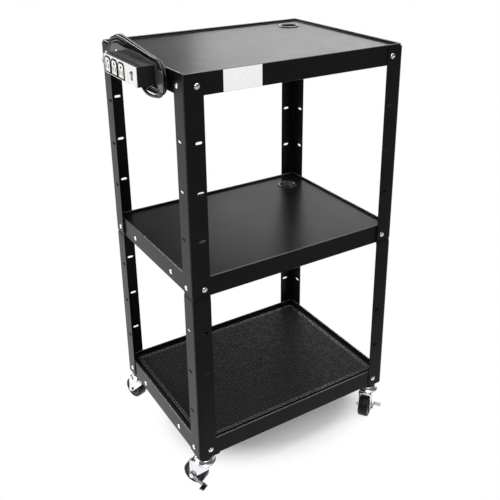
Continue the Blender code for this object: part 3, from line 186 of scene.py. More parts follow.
def rounded_rectangle(low, high, radius, steps, inset=0):
    """An outline between two corners, drawn in by inset; radius is that of the drawn corners."""
    left, right = low[0] + inset + radius, high[0] - inset - radius
    near, far = low[1] + inset + radius, high[1] - inset - radius
    outline = []
    for quarter, centre in enumerate(((right, near), (right, far), (left, far), (left, near))):
        start = (270 + 90 * quarter) % 360
        outline += arc(centre, radius, start, start + 90, steps)
    return outline


def soft_block(bm, low, high, radius, edge, place=None, steps=4):
    """A slab between two heights, its corners rounded by radius and its rims by edge."""
    rings = []
    for angle in EDGE_ANGLES:
        inset = edge * (1 - math.cos(math.radians(angle)))
        rise = edge * (1 - math.sin(math.radians(angle)))
        rings.append((inset, low[2] + rise))
    rings += [(inset, high[2] - (height - low[2])) for inset, height in reversed(rings)]
    loops = []
    for inset, height in rings:
        outline = rounded_rectangle(low, high, max(radius - inset, LEAST_RADIUS), steps, inset)
        loops.append([(x, y, height) for x, y in outline])
    loft(bm, loops, place)


def cut(mesh, cutter_bm):
    """Takes the cutter's shape out of a closed mesh."""
    base = bpy.data.objects.new("cut_base", mesh)
    tool = bpy.data.objects.new("cut_tool", finish_mesh(cutter_bm, "cutter"))
    for obj in (base, tool):
        bpy.context.scene.collection.objects.link(obj)
    modifier = base.modifiers.new("cut", "BOOLEAN")
    modifier.operation = "DIFFERENCE"
    modifier.solver = "EXACT"
    modifier.object = tool
    depsgraph = bpy.context.evaluated_depsgraph_get()
    result = bpy.data.meshes.new_from_object(base.evaluated_get(depsgraph))
    for obj in (base, tool):
        bpy.data.objects.remove(obj, do_unlink=True)
    return result


def facing(point, outward):
    """Moves Z onto the outward direction at a point."""
    turn = Vector((0, 0, 1)).rotation_difference(Vector(outward))
    return Matrix.Translation(point) @ turn.to_matrix().to_4x4()


def along_y(point=(0, 0, 0)):
    return Matrix.Translation(point) @ Matrix.Rotation(math.radians(-90), 4, "X")


def corner_moves():
    """Carries the front left corner's pieces to each corner, in the order of CORNERS."""
    for quarter, (x, y) in enumerate(((0, 0), (WIDTH, 0), (WIDTH, DEPTH), (0, DEPTH))):
        yield Matrix.Translation((x, y, 0)) @ Matrix.Rotation(math.radians(90 * quarter), 4, "Z")


def gather(name, mesh, places, material):
    """Copies of a mesh at many places, as one piece."""
    bm = bmesh.new()
    for place in places:
        copy = mesh.copy()
        copy.transform(place)
        bm.from_mesh(copy)
        bpy.data.meshes.remove(copy)
    whole = bpy.data.meshes.new(name)
    bm.to_mesh(whole)
    bm.free()
    whole.set_sharp_from_angle(angle=FASTENER_SHARP_ANGLE)
    link(name, whole, material)


# Materials

NOISE_ROUGHNESS = 0.55
NOISE_MIDDLE = (0.3, 0.7)


class Nodes:
    """A node tree that is filled one call at a time."""

    def __init__(self, tree):
        self.tree = tree

    def add(self, kind, **settings):
        node = self.tree.nodes.new("ShaderNode" + kind)
        for name, value in settings.items():
            setattr(node, name, value)
        return node

    def feed(self, target, value):
        """Wires a socket into the target, or sets the target to a plain value."""
        if isinstance(value, bpy.types.NodeSocket):
            self.tree.links.new(value, target)
        else:
            target.default_value = value

    def join(self, kind, first, second, **settings):
        """A node of two unnamed inputs; gives its first output."""
        node = self.add(kind, **settings)
        self.feed(node.inputs[0], first)
        self.feed(node.inputs[1], second)
        return node.outputs[0]

    def ramp(self, source, low, high, low_value, high_value, interpolation="SMOOTHSTEP"):
        """Runs from low_value to high_value while the source runs from low to high."""
        node = self.add("MapRange", interpolation_type=interpolation)
        named = {"From Min": low, "From Max": high, "To Min": low_value, "To Max": high_value}
        for name, value in named.items():
            node.inputs[name].default_value = value
        self.feed(node.inputs["Value"], source)
        return node.outputs["Result"]

    def mix(self, factor, first, second, data_type="FLOAT"):
        node = self.add("Mix", data_type=data_type)
        for name, value in (("Factor", factor), ("A", first), ("B", second)):
            self.feed(node.inputs[name], value)
        return node.outputs["Result"]

    def mix_shaders(self, factor, first, second):
        node = self.add("MixShader")
        for i, value in enumerate((factor, first, second)):
            self.feed(node.inputs[i], value)
        return node.outputs["Shader"]

    def emission(self, strength):
        node = self.add("Emission")
        self.feed(node.inputs["Strength"], strength)
        return node.outputs["Emission"]


class Paint(Nodes):
    """A material round one Principled shader."""

    def __init__(self, name, colour, roughness, metallic=0.0, specular=0.5):
        self.material = bpy.data.materials.new(name)
        self.material.use_nodes = True
        super().__init__(self.material.node_tree)
        self.shader = self.tree.nodes["Principled BSDF"]
        self.shader.inputs["Base Color"].default_value = (*colour, 1)
        self.shader.inputs["Roughness"].default_value = roughness
        self.shader.inputs["Metallic"].default_value = metallic
        self.shader.inputs["Specular IOR Level"].default_value = specular
        self.coords = self.add("TexCoord").outputs["Object"]
        self.last_colour = (*colour, 1)

    def stretched(self, scales, offset=(0, 0, 0)):
        mapping = self.add("Mapping")
        mapping.inputs["Location"].default_value = offset
        mapping.inputs["Scale"].default_value = scales
        self.feed(mapping.inputs["Vector"], self.coords)
        return mapping.outputs["Vector"]

    def noise(self, scale, detail, axis_scales=None):
        node = self.add("TexNoise")
        node.inputs["Scale"].default_value = scale
        node.inputs["Detail"].default_value = detail
        node.inputs["Roughness"].default_value = NOISE_ROUGHNESS
        self.feed(node.inputs["Vector"], self.stretched(axis_scales) if axis_scales else self.coords)
        return node.outputs["Fac"]

    def tint(self, noise, low, high, share, colour):
        """Mixes another colour in, up to a share, as the noise runs from low to high."""
        mask = self.ramp(noise, low, high, 0, share)
        self.last_colour = self.mix(mask, self.last_colour, (*colour, 1), "RGBA")
        self.feed(self.shader.inputs["Base Color"], self.last_colour)

    def rough(self, noise, low, high):
        """Roughness that runs from low to high in the noise's clouds."""
        clouds = self.ramp(noise, *NOISE_MIDDLE, 0, 1)
        self.feed(self.shader.inputs["Roughness"], self.ramp(clouds, 0, 1, low, high))

    def bump(self, height, distance, strength):
        node = self.add("Bump")
        node.inputs["Strength"].default_value = strength
        node.inputs["Distance"].default_value = distance
        self.feed(node.inputs["Height"], height)
        self.feed(self.shader.inputs["Normal"], node.outputs["Normal"])


def grey(level):
    return (level, level, level)


def shaded(colour, share):
    return tuple(channel * share for channel in colour)


def powder_coat(name, colour, worn, specular):
    """Baked powder finish: orange peel, faint handling marks and a few dry scuffs."""
    paint = Paint(name, colour, roughness=0.30, specular=specular)
    marks = paint.noise(scale=5, detail=3)
    paint.tint(marks, low=0.35, high=0.75, share=0.35, colour=worn)
    scuffs = paint.noise(scale=70, detail=5, axis_scales=(0.3, 0.3, 2.4))
    paint.tint(scuffs, low=0.72, high=0.86, share=0.15, colour=shaded(worn, 1.5))
    paint.rough(paint.noise(scale=17, detail=4), low=0.285, high=0.305)
    paint.bump(paint.noise(scale=850, detail=2), distance=0.00010, strength=0.35)
    return paint.material


def zinc_plate(name, colour):
    """Bright zinc with dull clouds and small dark stains."""
    paint = Paint(name, colour, roughness=0.2, metallic=1.0)
    clouds = paint.noise(scale=40, detail=4)
    paint.tint(clouds, low=0.45, high=0.75, share=0.5, colour=shaded(colour, 0.79))
    stains = paint.noise(scale=150, detail=5)
    paint.tint(stains, low=0.64, high=0.80, share=0.5, colour=shaded(colour, 0.45))
    paint.rough(paint.noise(scale=70, detail=4), low=0.12, high=0.26)
    streaks = paint.noise(scale=700, detail=3, axis_scales=(1, 1, 0.2))
    paint.bump(streaks, distance=0.00008, strength=0.4)
    return paint.material


def rubber(name, colour, dust, dust_low, roughness, specular):
    """Black rubber, dusty in patches that start at dust_low of the noise."""
    paint = Paint(name, colour, roughness, specular=specular)
    paint.tint(paint.noise(scale=38, detail=5), low=dust_low, high=0.85, share=0.6, colour=dust)
    paint.rough(paint.noise(scale=55, detail=4), low=roughness - 0.1, high=roughness + 0.08)
    paint.bump(paint.noise(scale=1100, detail=3), distance=0.0001, strength=0.5)
    return paint.material


def moulded(name, colour, tint, roughness, grain, depth, specular=0.5):
    """Injection moulded plastic with a fine spark-eroded grain."""
    paint = Paint(name, colour, roughness, specular=specular)
    paint.tint(paint.noise(scale=14, detail=4), low=0.4, high=0.8, share=0.5, colour=tint)
    paint.rough(paint.noise(scale=30, detail=4), low=roughness - 0.06, high=roughness + 0.06)
    paint.bump(paint.noise(scale=grain, detail=2), distance=depth, strength=0.6)
    return paint.material


def cord_jacket():
    paint = Paint("cord_jacket", (0.005, 0.005, 0.0053), roughness=0.2, specular=0.3)
    haze = paint.noise(scale=40, detail=4)
    paint.tint(haze, low=0.45, high=0.8, share=0.4, colour=(0.010, 0.010, 0.0095))
    paint.rough(paint.noise(scale=90, detail=3), low=0.09, high=0.15)
    paint.bump(paint.noise(scale=300, detail=3), distance=0.0001, strength=0.12)
    return paint.material


def nickelled_brass():
    paint = Paint("nickelled_brass", (0.74, 0.69, 0.57), roughness=0.24, metallic=1.0)
    tarnish = paint.noise(scale=130, detail=4)
    paint.tint(tarnish, low=0.5, high=0.8, share=0.6, colour=(0.52, 0.45, 0.33))
    paint.rough(paint.noise(scale=220, detail=3), low=0.18, high=0.34)
    streaks = paint.noise(scale=1500, detail=2, axis_scales=(1, 0.1, 1))
    paint.bump(streaks, distance=0.00005, strength=0.5)
    return paint.material


def blank_label():
    paint = Paint("blank_label", (0.86, 0.86, 0.85), roughness=0.32)
    patches = paint.noise(scale=25, detail=4)
    paint.tint(patches, low=0.45, high=0.85, share=0.3, colour=(0.83, 0.828, 0.82))
    paint.rough(paint.noise(scale=60, detail=4), low=0.25, high=0.40)
    paint.bump(paint.noise(scale=1300, detail=2), distance=0.00006, strength=0.4)
    return paint.material


# Wound mains lead, by the same rule as the solid model

HOUSING_FAR_END = 0.264
CORD_DIAMETER = 0.0072
CORD_PITCH = 0.00785
WIND_FRONT = (0.110, -0.027)
WIND_BACK_HIGH = (0.312, -0.005)
WIND_BACK_MIDDLE = (0.342, -0.012)
WIND_BACK_LOW = (0.342, -0.028)
WIND_FIRST_OFFSET = 0.0412
WIND_REVERSE_TURN = 2.75
WIND_CLIMB_START = 2.5
WIND_CLIMB_TURNS = 0.5
WIND_LAST_LOOP = 5
INBOARD_LANE = -0.0043
MEAN_OFFSET = 0.031
LEAD_POINTS = [
    (-0.0480, 0.3100, -0.0130),
    (-0.0470, 0.3240, -0.0160),
    (-0.0440, 0.3380, -0.0220),
    (-0.0390, 0.3520, -0.0300),
    (-0.0320, 0.3650, -0.0380),
    (-0.0235, 0.3770, -0.0430),
    (-0.0150, 0.3870, -0.0430),
    (-0.0085, 0.3920, -0.0370),
]
TAIL_POINTS = [
    (-0.0133, 0.1180, -0.0700),
    (-0.0166, 0.1300, -0.0698),
    (-0.0194, 0.1420, -0.0676),
    (-0.0203, 0.1540, -0.0634),
    (-0.0203, 0.1660, -0.0576),
    (-0.0203, 0.1780, -0.0512),
    (-0.0202, 0.1900, -0.0450),
    (-0.0186, 0.2020, -0.0390),
    (-0.0154, 0.2140, -0.0340),
    (-0.0129, 0.2260, -0.0313),
]
CORD_EXIT = (-0.0480, HOUSING_FAR_END, -0.0125)
PLUG_START = (-0.0121, 0.2360, -0.0305)
CURVE_STEPS = 4

# Strain relief: radii run from its housing end to its free end
RELIEF_LENGTH = 0.025
RELIEF_COLLAR = [(0, 0), (0.0095, 0), (0.0095, 0.0022), (0.0088, 0.003), (0.0074, 0.003)]
RELIEF_RINGS = 6
RELIEF_FIRST_RING = 0.0042
RELIEF_LIP = 0.0012
RELIEF_LIP_RADIUS = 0.0047
RING_LENGTH_SHARE = 0.62
RING_EDGE = 0.0004
GROOVE_RADII = (0.0062, 0.0046)
CREST_RADII = (0.0075, 0.0048)

# Plug's grip bars
GRIP_BARS = 5
GRIP_FIRST = 0.0250
GRIP_PITCH = 0.0031
GRIP_FROM_MIDDLE = 0.01095
GRIP_HALF = (0.0006, 0.0007, 0.0070)
GRIP_ROUNDING = 0.0003


def between(ends, share):
    return ends[0] + (ends[1] - ends[0]) * share


def wind_stations():
    """One turn's stations as (corner or point on an edge, outward normal angle)."""
    corners = [WIND_BACK_MIDDLE, WIND_BACK_HIGH, WIND_FRONT, WIND_BACK_LOW]
    arc_steps = [9, 3, 24, 12]
    edge_stops = [2, 8, 11, 2]
    angles = []
    for start, end in zip(corners, corners[1:] + corners[:1]):
        angles.append(math.degrees(math.atan2(end[1] - start[1], end[0] - start[0])) - 90)
    stations = []
    for i, corner in enumerate(corners):
        before = angles[i - 1] % 360
        after = angles[i] % 360
        if i == 0 and before > 180:
            before -= 360
        if after < before:
            after += 360
        for step in range(arc_steps[i] + 1):
            stations.append((corner, before + (after - before) * step / arc_steps[i]))
        following = corners[(i + 1) % len(corners)]
        for stop in range(edge_stops[i]):
            share = (stop + 1) / (edge_stops[i] + 1)
            spot = [between((corner[k], following[k]), share) for k in (0, 1)]
            stations.append((spot, after))
    return stations


def station_point(station, offset):
    (along, height), angle = station
    turn = math.radians(angle)
    return Vector((along + offset * math.cos(turn), height + offset * math.sin(turn)))


def ease(value):
    value = min(max(value, 0), 1)
    return value * value * (3 - 2 * value)


def wound_points():
    """Turns that shrink to the reverse turn, change lane and grow again."""
    stations = wind_stations()
    mean = [station_point(station, MEAN_OFFSET) for station in stations]
    lengths = [(b - a).length for a, b in zip(mean, mean[1:] + mean[:1])]
    phases = [sum(lengths[:i]) / sum(lengths) for i in range(len(mean))]
    last = [i for i, station in enumerate(stations) if station[0] == WIND_FRONT][-1]
    inner = WIND_FIRST_OFFSET - CORD_PITCH * WIND_REVERSE_TURN
    points = []
    for loop in range(WIND_LAST_LOOP + 1):
        for i, station in enumerate(stations):
            if loop == WIND_LAST_LOOP and i > last:
                break
            turns = loop + phases[i]
            offset = inner + CORD_PITCH * abs(turns - WIND_REVERSE_TURN)
            lane = INBOARD_LANE - CORD_PITCH * ease((turns - WIND_CLIMB_START) / WIND_CLIMB_TURNS)
            flat = station_point(station, offset)
            points.append(Vector((lane, flat.x, TOP_RIM + flat.y)))
    return points


def even_curve(points):
    """A smooth curve through the inner points that stays calm where their spacing changes."""
    route = []
    for i in range(1, len(points) - 2):
        p0, p1, p2, p3 = points[i - 1:i + 3]
        t1 = (p1 - p0).length ** 0.5
        t2 = t1 + (p2 - p1).length ** 0.5
        t3 = t2 + (p3 - p2).length ** 0.5
        for step in range(CURVE_STEPS):
            t = t1 + (t2 - t1) * step / CURVE_STEPS
            a1 = p0.lerp(p1, t / t1)
            a2 = p1.lerp(p2, (t - t1) / (t2 - t1))
            a3 = p2.lerp(p3, (t - t2) / (t3 - t2))
            b1 = a1.lerp(a2, t / t2)
            b2 = a2.lerp(a3, (t - t1) / (t3 - t1))
            route.append(b1.lerp(b2, (t - t1) / (t2 - t1)))
    return route


def rim_point(point):
    """A point given by X, Y and its height above the top rim."""
    return Vector((point[0], point[1], TOP_RIM + point[2]))


def relief_start():
    return rim_point(CORD_EXIT) + Vector((0, SEAT_GAP, 0))


def cord_route():
    square_run = Vector((0, CORD_DIAMETER, 0))
    gap = Vector((0, SEAT_GAP, 0))
    start = relief_start() + Vector((0, RELIEF_LENGTH, 0)) + gap
    end = rim_point(PLUG_START) - gap
    wound = wound_points()
    lead = [start, start + square_run] + [rim_point(p) for p in LEAD_POINTS] + wound[:2]
    tail = wound[-2:] + [rim_point(p) for p in TAIL_POINTS] + [end - square_run, end]
    return [start] + even_curve(lead) + wound[:-1] + even_curve(tail) + [end - square_run, end]


def make_cord(material):
    points = cord_route()
    data = bpy.data.curves.new("power_cord_jacket", "CURVE")
    data.dimensions = "3D"
    data.bevel_depth = CORD_DIAMETER / 2
    data.bevel_resolution = 5
    data.use_fill_caps = True
    spline = data.splines.new("POLY")
    spline.points.add(len(points) - 1)
    for target, point in zip(spline.points, points):
        target.co = (*point, 1)
    spline.use_smooth = True
    cord = link("power_cord_jacket", data, material)
    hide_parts("power_cord")
    length = sum((b - a).length for a, b in zip(points, points[1:]))
    return cord, length


def make_relief(material):
    """Tapered strain relief: a collar at the housing and rings that let it bend."""
    profile = list(RELIEF_COLLAR)
    ring_ends = (RELIEF_FIRST_RING, RELIEF_LENGTH - RELIEF_LIP)
    for i in range(RELIEF_RINGS):
        low = between(ring_ends, i / RELIEF_RINGS)
        high = between(ring_ends, (i + RING_LENGTH_SHARE) / RELIEF_RINGS)
        groove = between(GROOVE_RADII, i / RELIEF_RINGS)
        crest = between(CREST_RADII, (i + 0.5) / RELIEF_RINGS)
        profile += [(groove, low), (crest, low + RING_EDGE), (crest, high - RING_EDGE), (groove, high)]
    profile += [(GROOVE_RADII[1], ring_ends[1]), (RELIEF_LIP_RADIUS, RELIEF_LENGTH), (0, RELIEF_LENGTH)]
    bm = bmesh.new()
    turned(bm, profile, steps=28, place=along_y(relief_start()))
    relief = link("strain_relief_rings", finish_mesh(bm, "strain_relief_rings"), material)
    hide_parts("cord_strain_relief")
    return relief


def make_plug_grips(material):
    """Raised grip bars on the plug's two flat sides."""
    bm = bmesh.new()
    half = Vector(GRIP_HALF)
    for side in (-1, 1):
        for i in range(GRIP_BARS):
            along = GRIP_FIRST + GRIP_PITCH * i
            middle = rim_point(PLUG_START) + Vector((side * GRIP_FROM_MIDDLE, along, 0))
            soft_block(bm, middle - half, middle + half, GRIP_ROUNDING, GRIP_ROUNDING, steps=2)
    return link("plug_grip_bars", finish_mesh(bm, "plug_grip_bars"), material)


# Bolts, nuts and screws, with profiles as (radius, height) points

BOLT_RADIUS = 0.0030
BOLT_LENGTH = 0.0172
BOLT_TIP_RADIUS = 0.0024
BOLT_TIP_CHAMFER = 0.0004
THREADS = 10
THREAD_PITCH = 0.0010
THREAD_ROOT_RADIUS = 0.0025
BOLT_NECK = 0.0066
BOLT_HEAD = [
    (0.0066, 0), (0.0069, 0.0004), (0.0068, 0.0010), (0.0060, 0.0019), (0.0044, 0.0026), (0.0022, 0.0030),
    (0, 0.0031),
]
# Cross recess, floor and mouth, as height, half length and half width
RECESS = ((0.0012, 0.0010, 0.0003), (0.0040, 0.0033, 0.00075))
RECESS_DEGREES = 20
# Turn from each bolt to the next, in radians, so that no two stand alike
HEAD_TURN = 0.7
NUT_TURN = 0.4
NUT_STEPS = 24
NUT_CORNER_RADIUS = 0.0064
NUT_HEIGHT = 0.0044
NUT_CHAMFER = 0.0005
NUT_FACE_SHARE = 0.90
NUT_BORE_RADIUS = 0.00305
NUT_BORE_ENDS = (-0.006, 0.002)
PAN_HEAD = [
    (0, -0.0016), (0.0021, -0.0016), (0.0021, 0), (0.0040, 0), (0.0042, 0.0004), (0.0039, 0.0011),
    (0.0027, 0.0017), (0, 0.0019),
]
BACK_POST = (0.298, 0.002)
WINDER_PLATE_OUT = 0.026
WINDER_BACK_IN = 0.002
BRACKET_STEEL = 0.003
BRACKET_BOLT_HEAD = [(0.0055, 0), (0.0058, -0.0002), (0.0058, -0.0020), (0.0050, -0.0024)]
BRACKET_BOLTS = ((0.0515, 0.0085), (0.0085, 0.0515))


def bolt_mesh():
    """Truss head bolt with a cross recess, its head above Z zero and its shank below."""
    profile = [(0, -BOLT_LENGTH), (BOLT_TIP_RADIUS, -BOLT_LENGTH)]
    for i in range(THREADS):
        height = BOLT_TIP_CHAMFER - BOLT_LENGTH + THREAD_PITCH * i
        profile += [(BOLT_RADIUS, height), (THREAD_ROOT_RADIUS, height + THREAD_PITCH / 2)]
    profile += [(BOLT_RADIUS, -BOLT_NECK), (BOLT_RADIUS, 0)] + BOLT_HEAD
    bm = bmesh.new()
    turned(bm, profile, steps=28)
    body = finish_mesh(bm, "bolt")
    for angle in (0, 90):
        rings = []
        for height, length, width in RECESS:
            corners = ((-length, -width), (length, -width), (length, width), (-length, width))
            rings.append([(x, y, height) for x, y in corners])
        bar = bmesh.new()
        loft(bar, rings, Matrix.Rotation(math.radians(angle + RECESS_DEGREES), 4, "Z"))
        body = cut(body, bar)
    body.shade_smooth()
    body.set_sharp_from_angle(angle=FASTENER_SHARP_ANGLE)
    return body


def nut_mesh():
    """Hexagon nut with both faces chamfered, its seat at Z zero and its body below."""
    depths = (0, NUT_CHAMFER, NUT_HEIGHT - NUT_CHAMFER, NUT_HEIGHT)
    rings = []
    for depth, share in zip(depths, (NUT_FACE_SHARE, 1, 1, NUT_FACE_SHARE)):
        ring = []
        for i in range(NUT_STEPS):
            angle = 2 * math.pi * i / NUT_STEPS
            off_flat = (angle + math.pi / 6) % (math.pi / 3) - math.pi / 6
            flat = NUT_CORNER_RADIUS * math.cos(math.pi / 6) / math.cos(math.pi / 6 - abs(off_flat))
            radius = min(flat, NUT_CORNER_RADIUS * share)
            ring.append((radius * math.cos(angle), radius * math.sin(angle), -depth))
        rings.append(ring)
    bm = bmesh.new()
    loft(bm, rings)
    low, high = NUT_BORE_ENDS
    bore = bmesh.new()
    turned(bore, [(0, low), (NUT_BORE_RADIUS, low), (NUT_BORE_RADIUS, high), (0, high)], steps=20)
    return cut(finish_mesh(bm, "nut", smooth_angle=20), bore)


def shelf_bolts(rim, inset, left_sides):
    """Every bolt of one shelf as (place with Z outward, thickness that it clamps)."""
    level = rim - BOLT_DROP
    places = []
    for move in corner_moves():
        places.append((move @ facing((HOLE_LINE, 0, level), (0, -1, 0)), inset + SHELF_STEEL))
        places.append((move @ facing((0, HOLE_LINE, level), (-1, 0, 0)), inset + SHELF_STEEL))
    for y in SIDE_BOLTS:
        places.append((facing((WIDTH - inset, y, level), (1, 0, 0)), SHELF_STEEL))
    for y in left_sides:
        places.append((facing((inset, y, level), (-1, 0, 0)), SHELF_STEEL))
    return places


def make_bolts(material):
    """Each shelf's bolts and nuts; the power strip leaves the top one a single left side bolt."""
    bolt = bolt_mesh()
    nut = nut_mesh()
    for name, rim, inset in SHELVES:
        left_sides = SIDE_BOLTS[1:] if name == "top" else SIDE_BOLTS
        heads = []
        backs = []
        for i, (place, stack) in enumerate(shelf_bolts(rim, inset, left_sides)):
            heads.append(place @ Matrix.Rotation(HEAD_TURN * i, 4, "Z"))
            sunk = Matrix.Translation((0, 0, -stack - HAIR_GAP))
            backs.append(place @ sunk @ Matrix.Rotation(NUT_TURN * i, 4, "Z"))
        gather(f"{name}_shelf_bolts", bolt, heads, material)
        gather(f"{name}_shelf_nuts", nut, backs, material)


def make_winder_screws(material):
    """Pan heads on the winder's plate and cheek, where its posts are."""
    bm = bmesh.new()
    turned(bm, PAN_HEAD, steps=24)
    head = finish_mesh(bm, "winder_screw")
    spots = ((-WINDER_PLATE_OUT, BACK_POST), (WINDER_BACK_IN, BACK_POST), (-WINDER_PLATE_OUT, WIND_FRONT))
    places = []
    for x, (along, height) in spots:
        places.append(facing((x, along, TOP_RIM + height), (math.copysign(1, x), 0, 0)))
    gather("winder_screws", head, places, material)


def make_bracket_bolts(material):
    """Two low hexagon bolts under each caster bracket, into the shelf's return flange."""
    angles = [math.pi * i / 3 for i in range(6)]
    rings = []
    for radius, height in BRACKET_BOLT_HEAD:
        rings.append([(radius * math.cos(a), radius * math.sin(a), height) for a in angles])
    bm = bmesh.new()
    loft(bm, rings)
    head = finish_mesh(bm, "bracket_bolt", smooth_angle=20)
    level = BOTTOM_RIM - APRON_HEIGHT - SEAT_GAP - BRACKET_STEEL - HAIR_GAP
    places = []
    for move in corner_moves():
        places += [move @ Matrix.Translation((x, y, level)) for x, y in BRACKET_BOLTS]
    gather("bracket_bolts", head, places, material)


# Label, rims and mat

LABEL_LEFT = 0.097
LABEL_RIGHT = 0.196
LABEL_TOP_DROP = 0.0014
LABEL_BOTTOM_DROP = 0.0506
LABEL_THICKNESS = 0.0008
LABEL_CORNER = 0.0012
LABEL_CHAMFER = 0.0003
LABEL_CHAMFER_DEPTH = 0.0002
ROLL_RISE = 0.0004
ROLL_SKIRT = 0.0002
ROLL_CORNER = 0.0045
ROLL_LEAST_CORNER = 0.0004
MAT_INSET = 0.0215
MAT_FIELD = 0.002
MAT_CORNER = 0.008
MAT_LEAST_CORNER = 0.001
BORDER_WIDTH = 0.0106
RIDGE_STARTS = (0.0003, 0.0066)
RIDGE_HALF = 0.0012
RIDGE_RISE = 0.0010
RIDGE_ANGLES = range(180, -1, -30)
RIB_PITCH = 0.0091
RIB_HALF = 0.0032
RIB_RISE = 0.0010
RIB_SINK = 0.0002
RIB_ANGLES = (160, 130, 90, 50, 20)


def make_label(material):
    low = (LABEL_LEFT, TOP_RIM - LABEL_BOTTOM_DROP)
    high = (LABEL_RIGHT, TOP_RIM - LABEL_TOP_DROP)
    back = SHELF_INSET - SEAT_GAP
    front = back - LABEL_THICKNESS
    rings = []
    for inset, y in ((0, back), (0, front + LABEL_CHAMFER_DEPTH), (LABEL_CHAMFER, front)):
        outline = rounded_rectangle(low, high, LABEL_CORNER, steps=4, inset=inset)
        rings.append([(x, y, z) for x, z in outline])
    bm = bmesh.new()
    loft(bm, rings)
    link("blank_label_plate", finish_mesh(bm, "blank_label_plate", smooth_angle=20), material)


def make_rim_rolls(material):
    """Rounded crowns of the shelves' hemmed rims, given a coat lighter than the frame's black: a painted
    highlight along the rims.
    """
    half = RIM_WIDTH / 2
    section = [(half, -half - ROLL_SKIRT)] + arc((half, ROLL_RISE - half), half, 0, 180, 8)
    for name, rim, inset in SHELVES:
        rings = []
        for across, height in section:
            corner = max(ROLL_CORNER - across, ROLL_LEAST_CORNER)
            outline = rounded_rectangle((0, 0), (WIDTH, DEPTH), corner, steps=4, inset=inset + across)
            rings.append([(x, y, rim + height) for x, y in outline])
        bm = bmesh.new()
        frame_loft(bm, rings)
        link(f"{name}_rim_roll", finish_mesh(bm, f"{name}_rim_roll", smooth_angle=50), material)


def make_mat(material, highlight_border_material):
    """The mat with its ribs: low round-backed bars, left to right, inside a double border."""
    deck = BOTTOM_RIM - BOTTOM_DECK_DROP
    low = deck + SEAT_GAP
    field = low + MAT_FIELD
    steps = [(0, low), (0, field)]
    for start in RIDGE_STARTS:
        for angle in RIDGE_ANGLES:
            turn = math.radians(angle)
            steps.append((start + RIDGE_HALF * (1 + math.cos(turn)), field + RIDGE_RISE * math.sin(turn)))
    rings = []
    for inward, height in steps:
        corner = max(MAT_CORNER - inward, MAT_LEAST_CORNER)
        outline = rounded_rectangle((0, 0), (WIDTH, DEPTH), corner, steps=5, inset=MAT_INSET + inward)
        rings.append([(x, y, height) for x, y in outline])
    bm = bmesh.new()
    loft(bm, rings)
    end = MAT_INSET + BORDER_WIDTH
    count = int((DEPTH - (end + RIB_HALF) * 2) / RIB_PITCH)
    section = [(-RIB_HALF, field - RIB_SINK)]
    for angle in RIB_ANGLES:
        turn = math.radians(angle)
        section.append((RIB_HALF * math.cos(turn), field + RIB_RISE * math.sin(turn)))
    section.append((RIB_HALF, field - RIB_SINK))
    for i in range(count + 1):
        y = (DEPTH - count * RIB_PITCH) / 2 + RIB_PITCH * i
        loft(bm, [[(x, y + across, height) for across, height in section] for x in (end, WIDTH - end)])
    mat = link("ribbed_mat_rubber", finish_mesh(bm, "ribbed_mat_rubber", smooth_angle=62), material)
    # The border's ridges take a lighter rubber than the field: a painted highlight along the mat's edges.
    mat.data.materials.append(highlight_border_material)
    for face in mat.data.polygons:
        x, y, z = face.center
        if z > field and min(x, WIDTH - x, y, DEPTH - y) < end:
            face.material_index = 1
    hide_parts("ribbed_mat")


# Casters, with profiles as (radius, height) points round the axle or the kingpin

WHEEL_RADIUS = 0.03175
KINGPIN_INSET = 0.026
FORK_OUTER = 0.0193
TYRE_SIDE = [(0.0215, -0.0129), (0.0238, -0.0132), (0.0242, -0.0136), (0.0262, -0.0138), (0.0266, -0.0142)]
SHOULDER_CENTRE = (0.0278, -0.0105)
SHOULDER_RADIUS = 0.0038
TREAD = [(0.0317, -0.0052), (0.0317, -0.0005), (WHEEL_RADIUS, -0.0003)]
HUB = [
    (0.0044, -0.0164), (0.0078, -0.0164), (0.0084, -0.0159), (0.0088, -0.0050), (0.0097, -0.0042),
    (0.0165, -0.0042), (0.0175, -0.0050), (0.0180, -0.0124), (0.0185, -0.0129), (0.0208, -0.0129),
    (0.0211, -0.0125),
]
HUB_RIBS = 6
HUB_RIB_FOOT = 0.0040
HUB_RIB_TAPER_SHARE = 0.7
# Hub rib's sections as radius, height above the web's middle and half width
HUB_RIB = ((0.0080, 0.0140, 0.0011), (0.0130, 0.0112, 0.0009), (0.0182, 0.0106, 0.0011))
RACE_UNDERSIDE = [(0.0056, 0.0822), (0.0190, 0.0822), (0.0262, 0.0788)]
RACE_LIP_CENTRE = (0.0280, 0.0786)
RACE_LIP_RADIUS = 0.0013
RACE_TOP = [
    (0.0272, 0.0806), (0.0250, 0.0830), (0.0231, 0.0862), (0.0218, 0.0888), (0.0206, 0.0900),
    (0.0192, 0.0904), (0.0056, 0.0904),
]
# Fork's beads from top to bottom, as (along travel, height above the axle)
BEADS = (((-0.0085, 0.034), (-0.0020, 0.013)), ((0.0055, 0.034), (0.0022, 0.015)))
BEAD_HALF = 0.0023
# Bead's section as (inset of the outline, height above the fork's cheek)
BEAD_SECTION = ((0, -0.0004), (0.0003, 0.0004), (0.0011, 0.0008))


def joint_named(name):
    return [joint for joint in frame["joints"] if joint["name"] == name][0]


def joint_place(name):
    """A wheel's own axes in cart coordinates: X along its travel, Y along its axle."""
    joint = joint_named(name)
    across = Vector(joint["axis"]).normalized()
    along = Vector((across.y, -across.x, 0))
    turn = Matrix((along, across, (0, 0, 1))).transposed().to_4x4()
    return Matrix.Translation(Vector(joint["pos_m"]) - CART) @ turn


def mirrored(profile):
    """A half profile from the outside to the middle, carried on to the other side."""
    return profile + [(radius, -height) for radius, height in reversed(profile)]


def tyre_mesh():
    """Rubber tyre with a lip on each side, round shoulders and a fine parting line."""
    bm = bmesh.new()
    half = TYRE_SIDE + arc(SHOULDER_CENTRE, SHOULDER_RADIUS, -80, 0, 6) + TREAD
    turned(bm, mirrored(half), steps=72, place=along_y())
    return finish_mesh(bm, "tyre", smooth_angle=28)


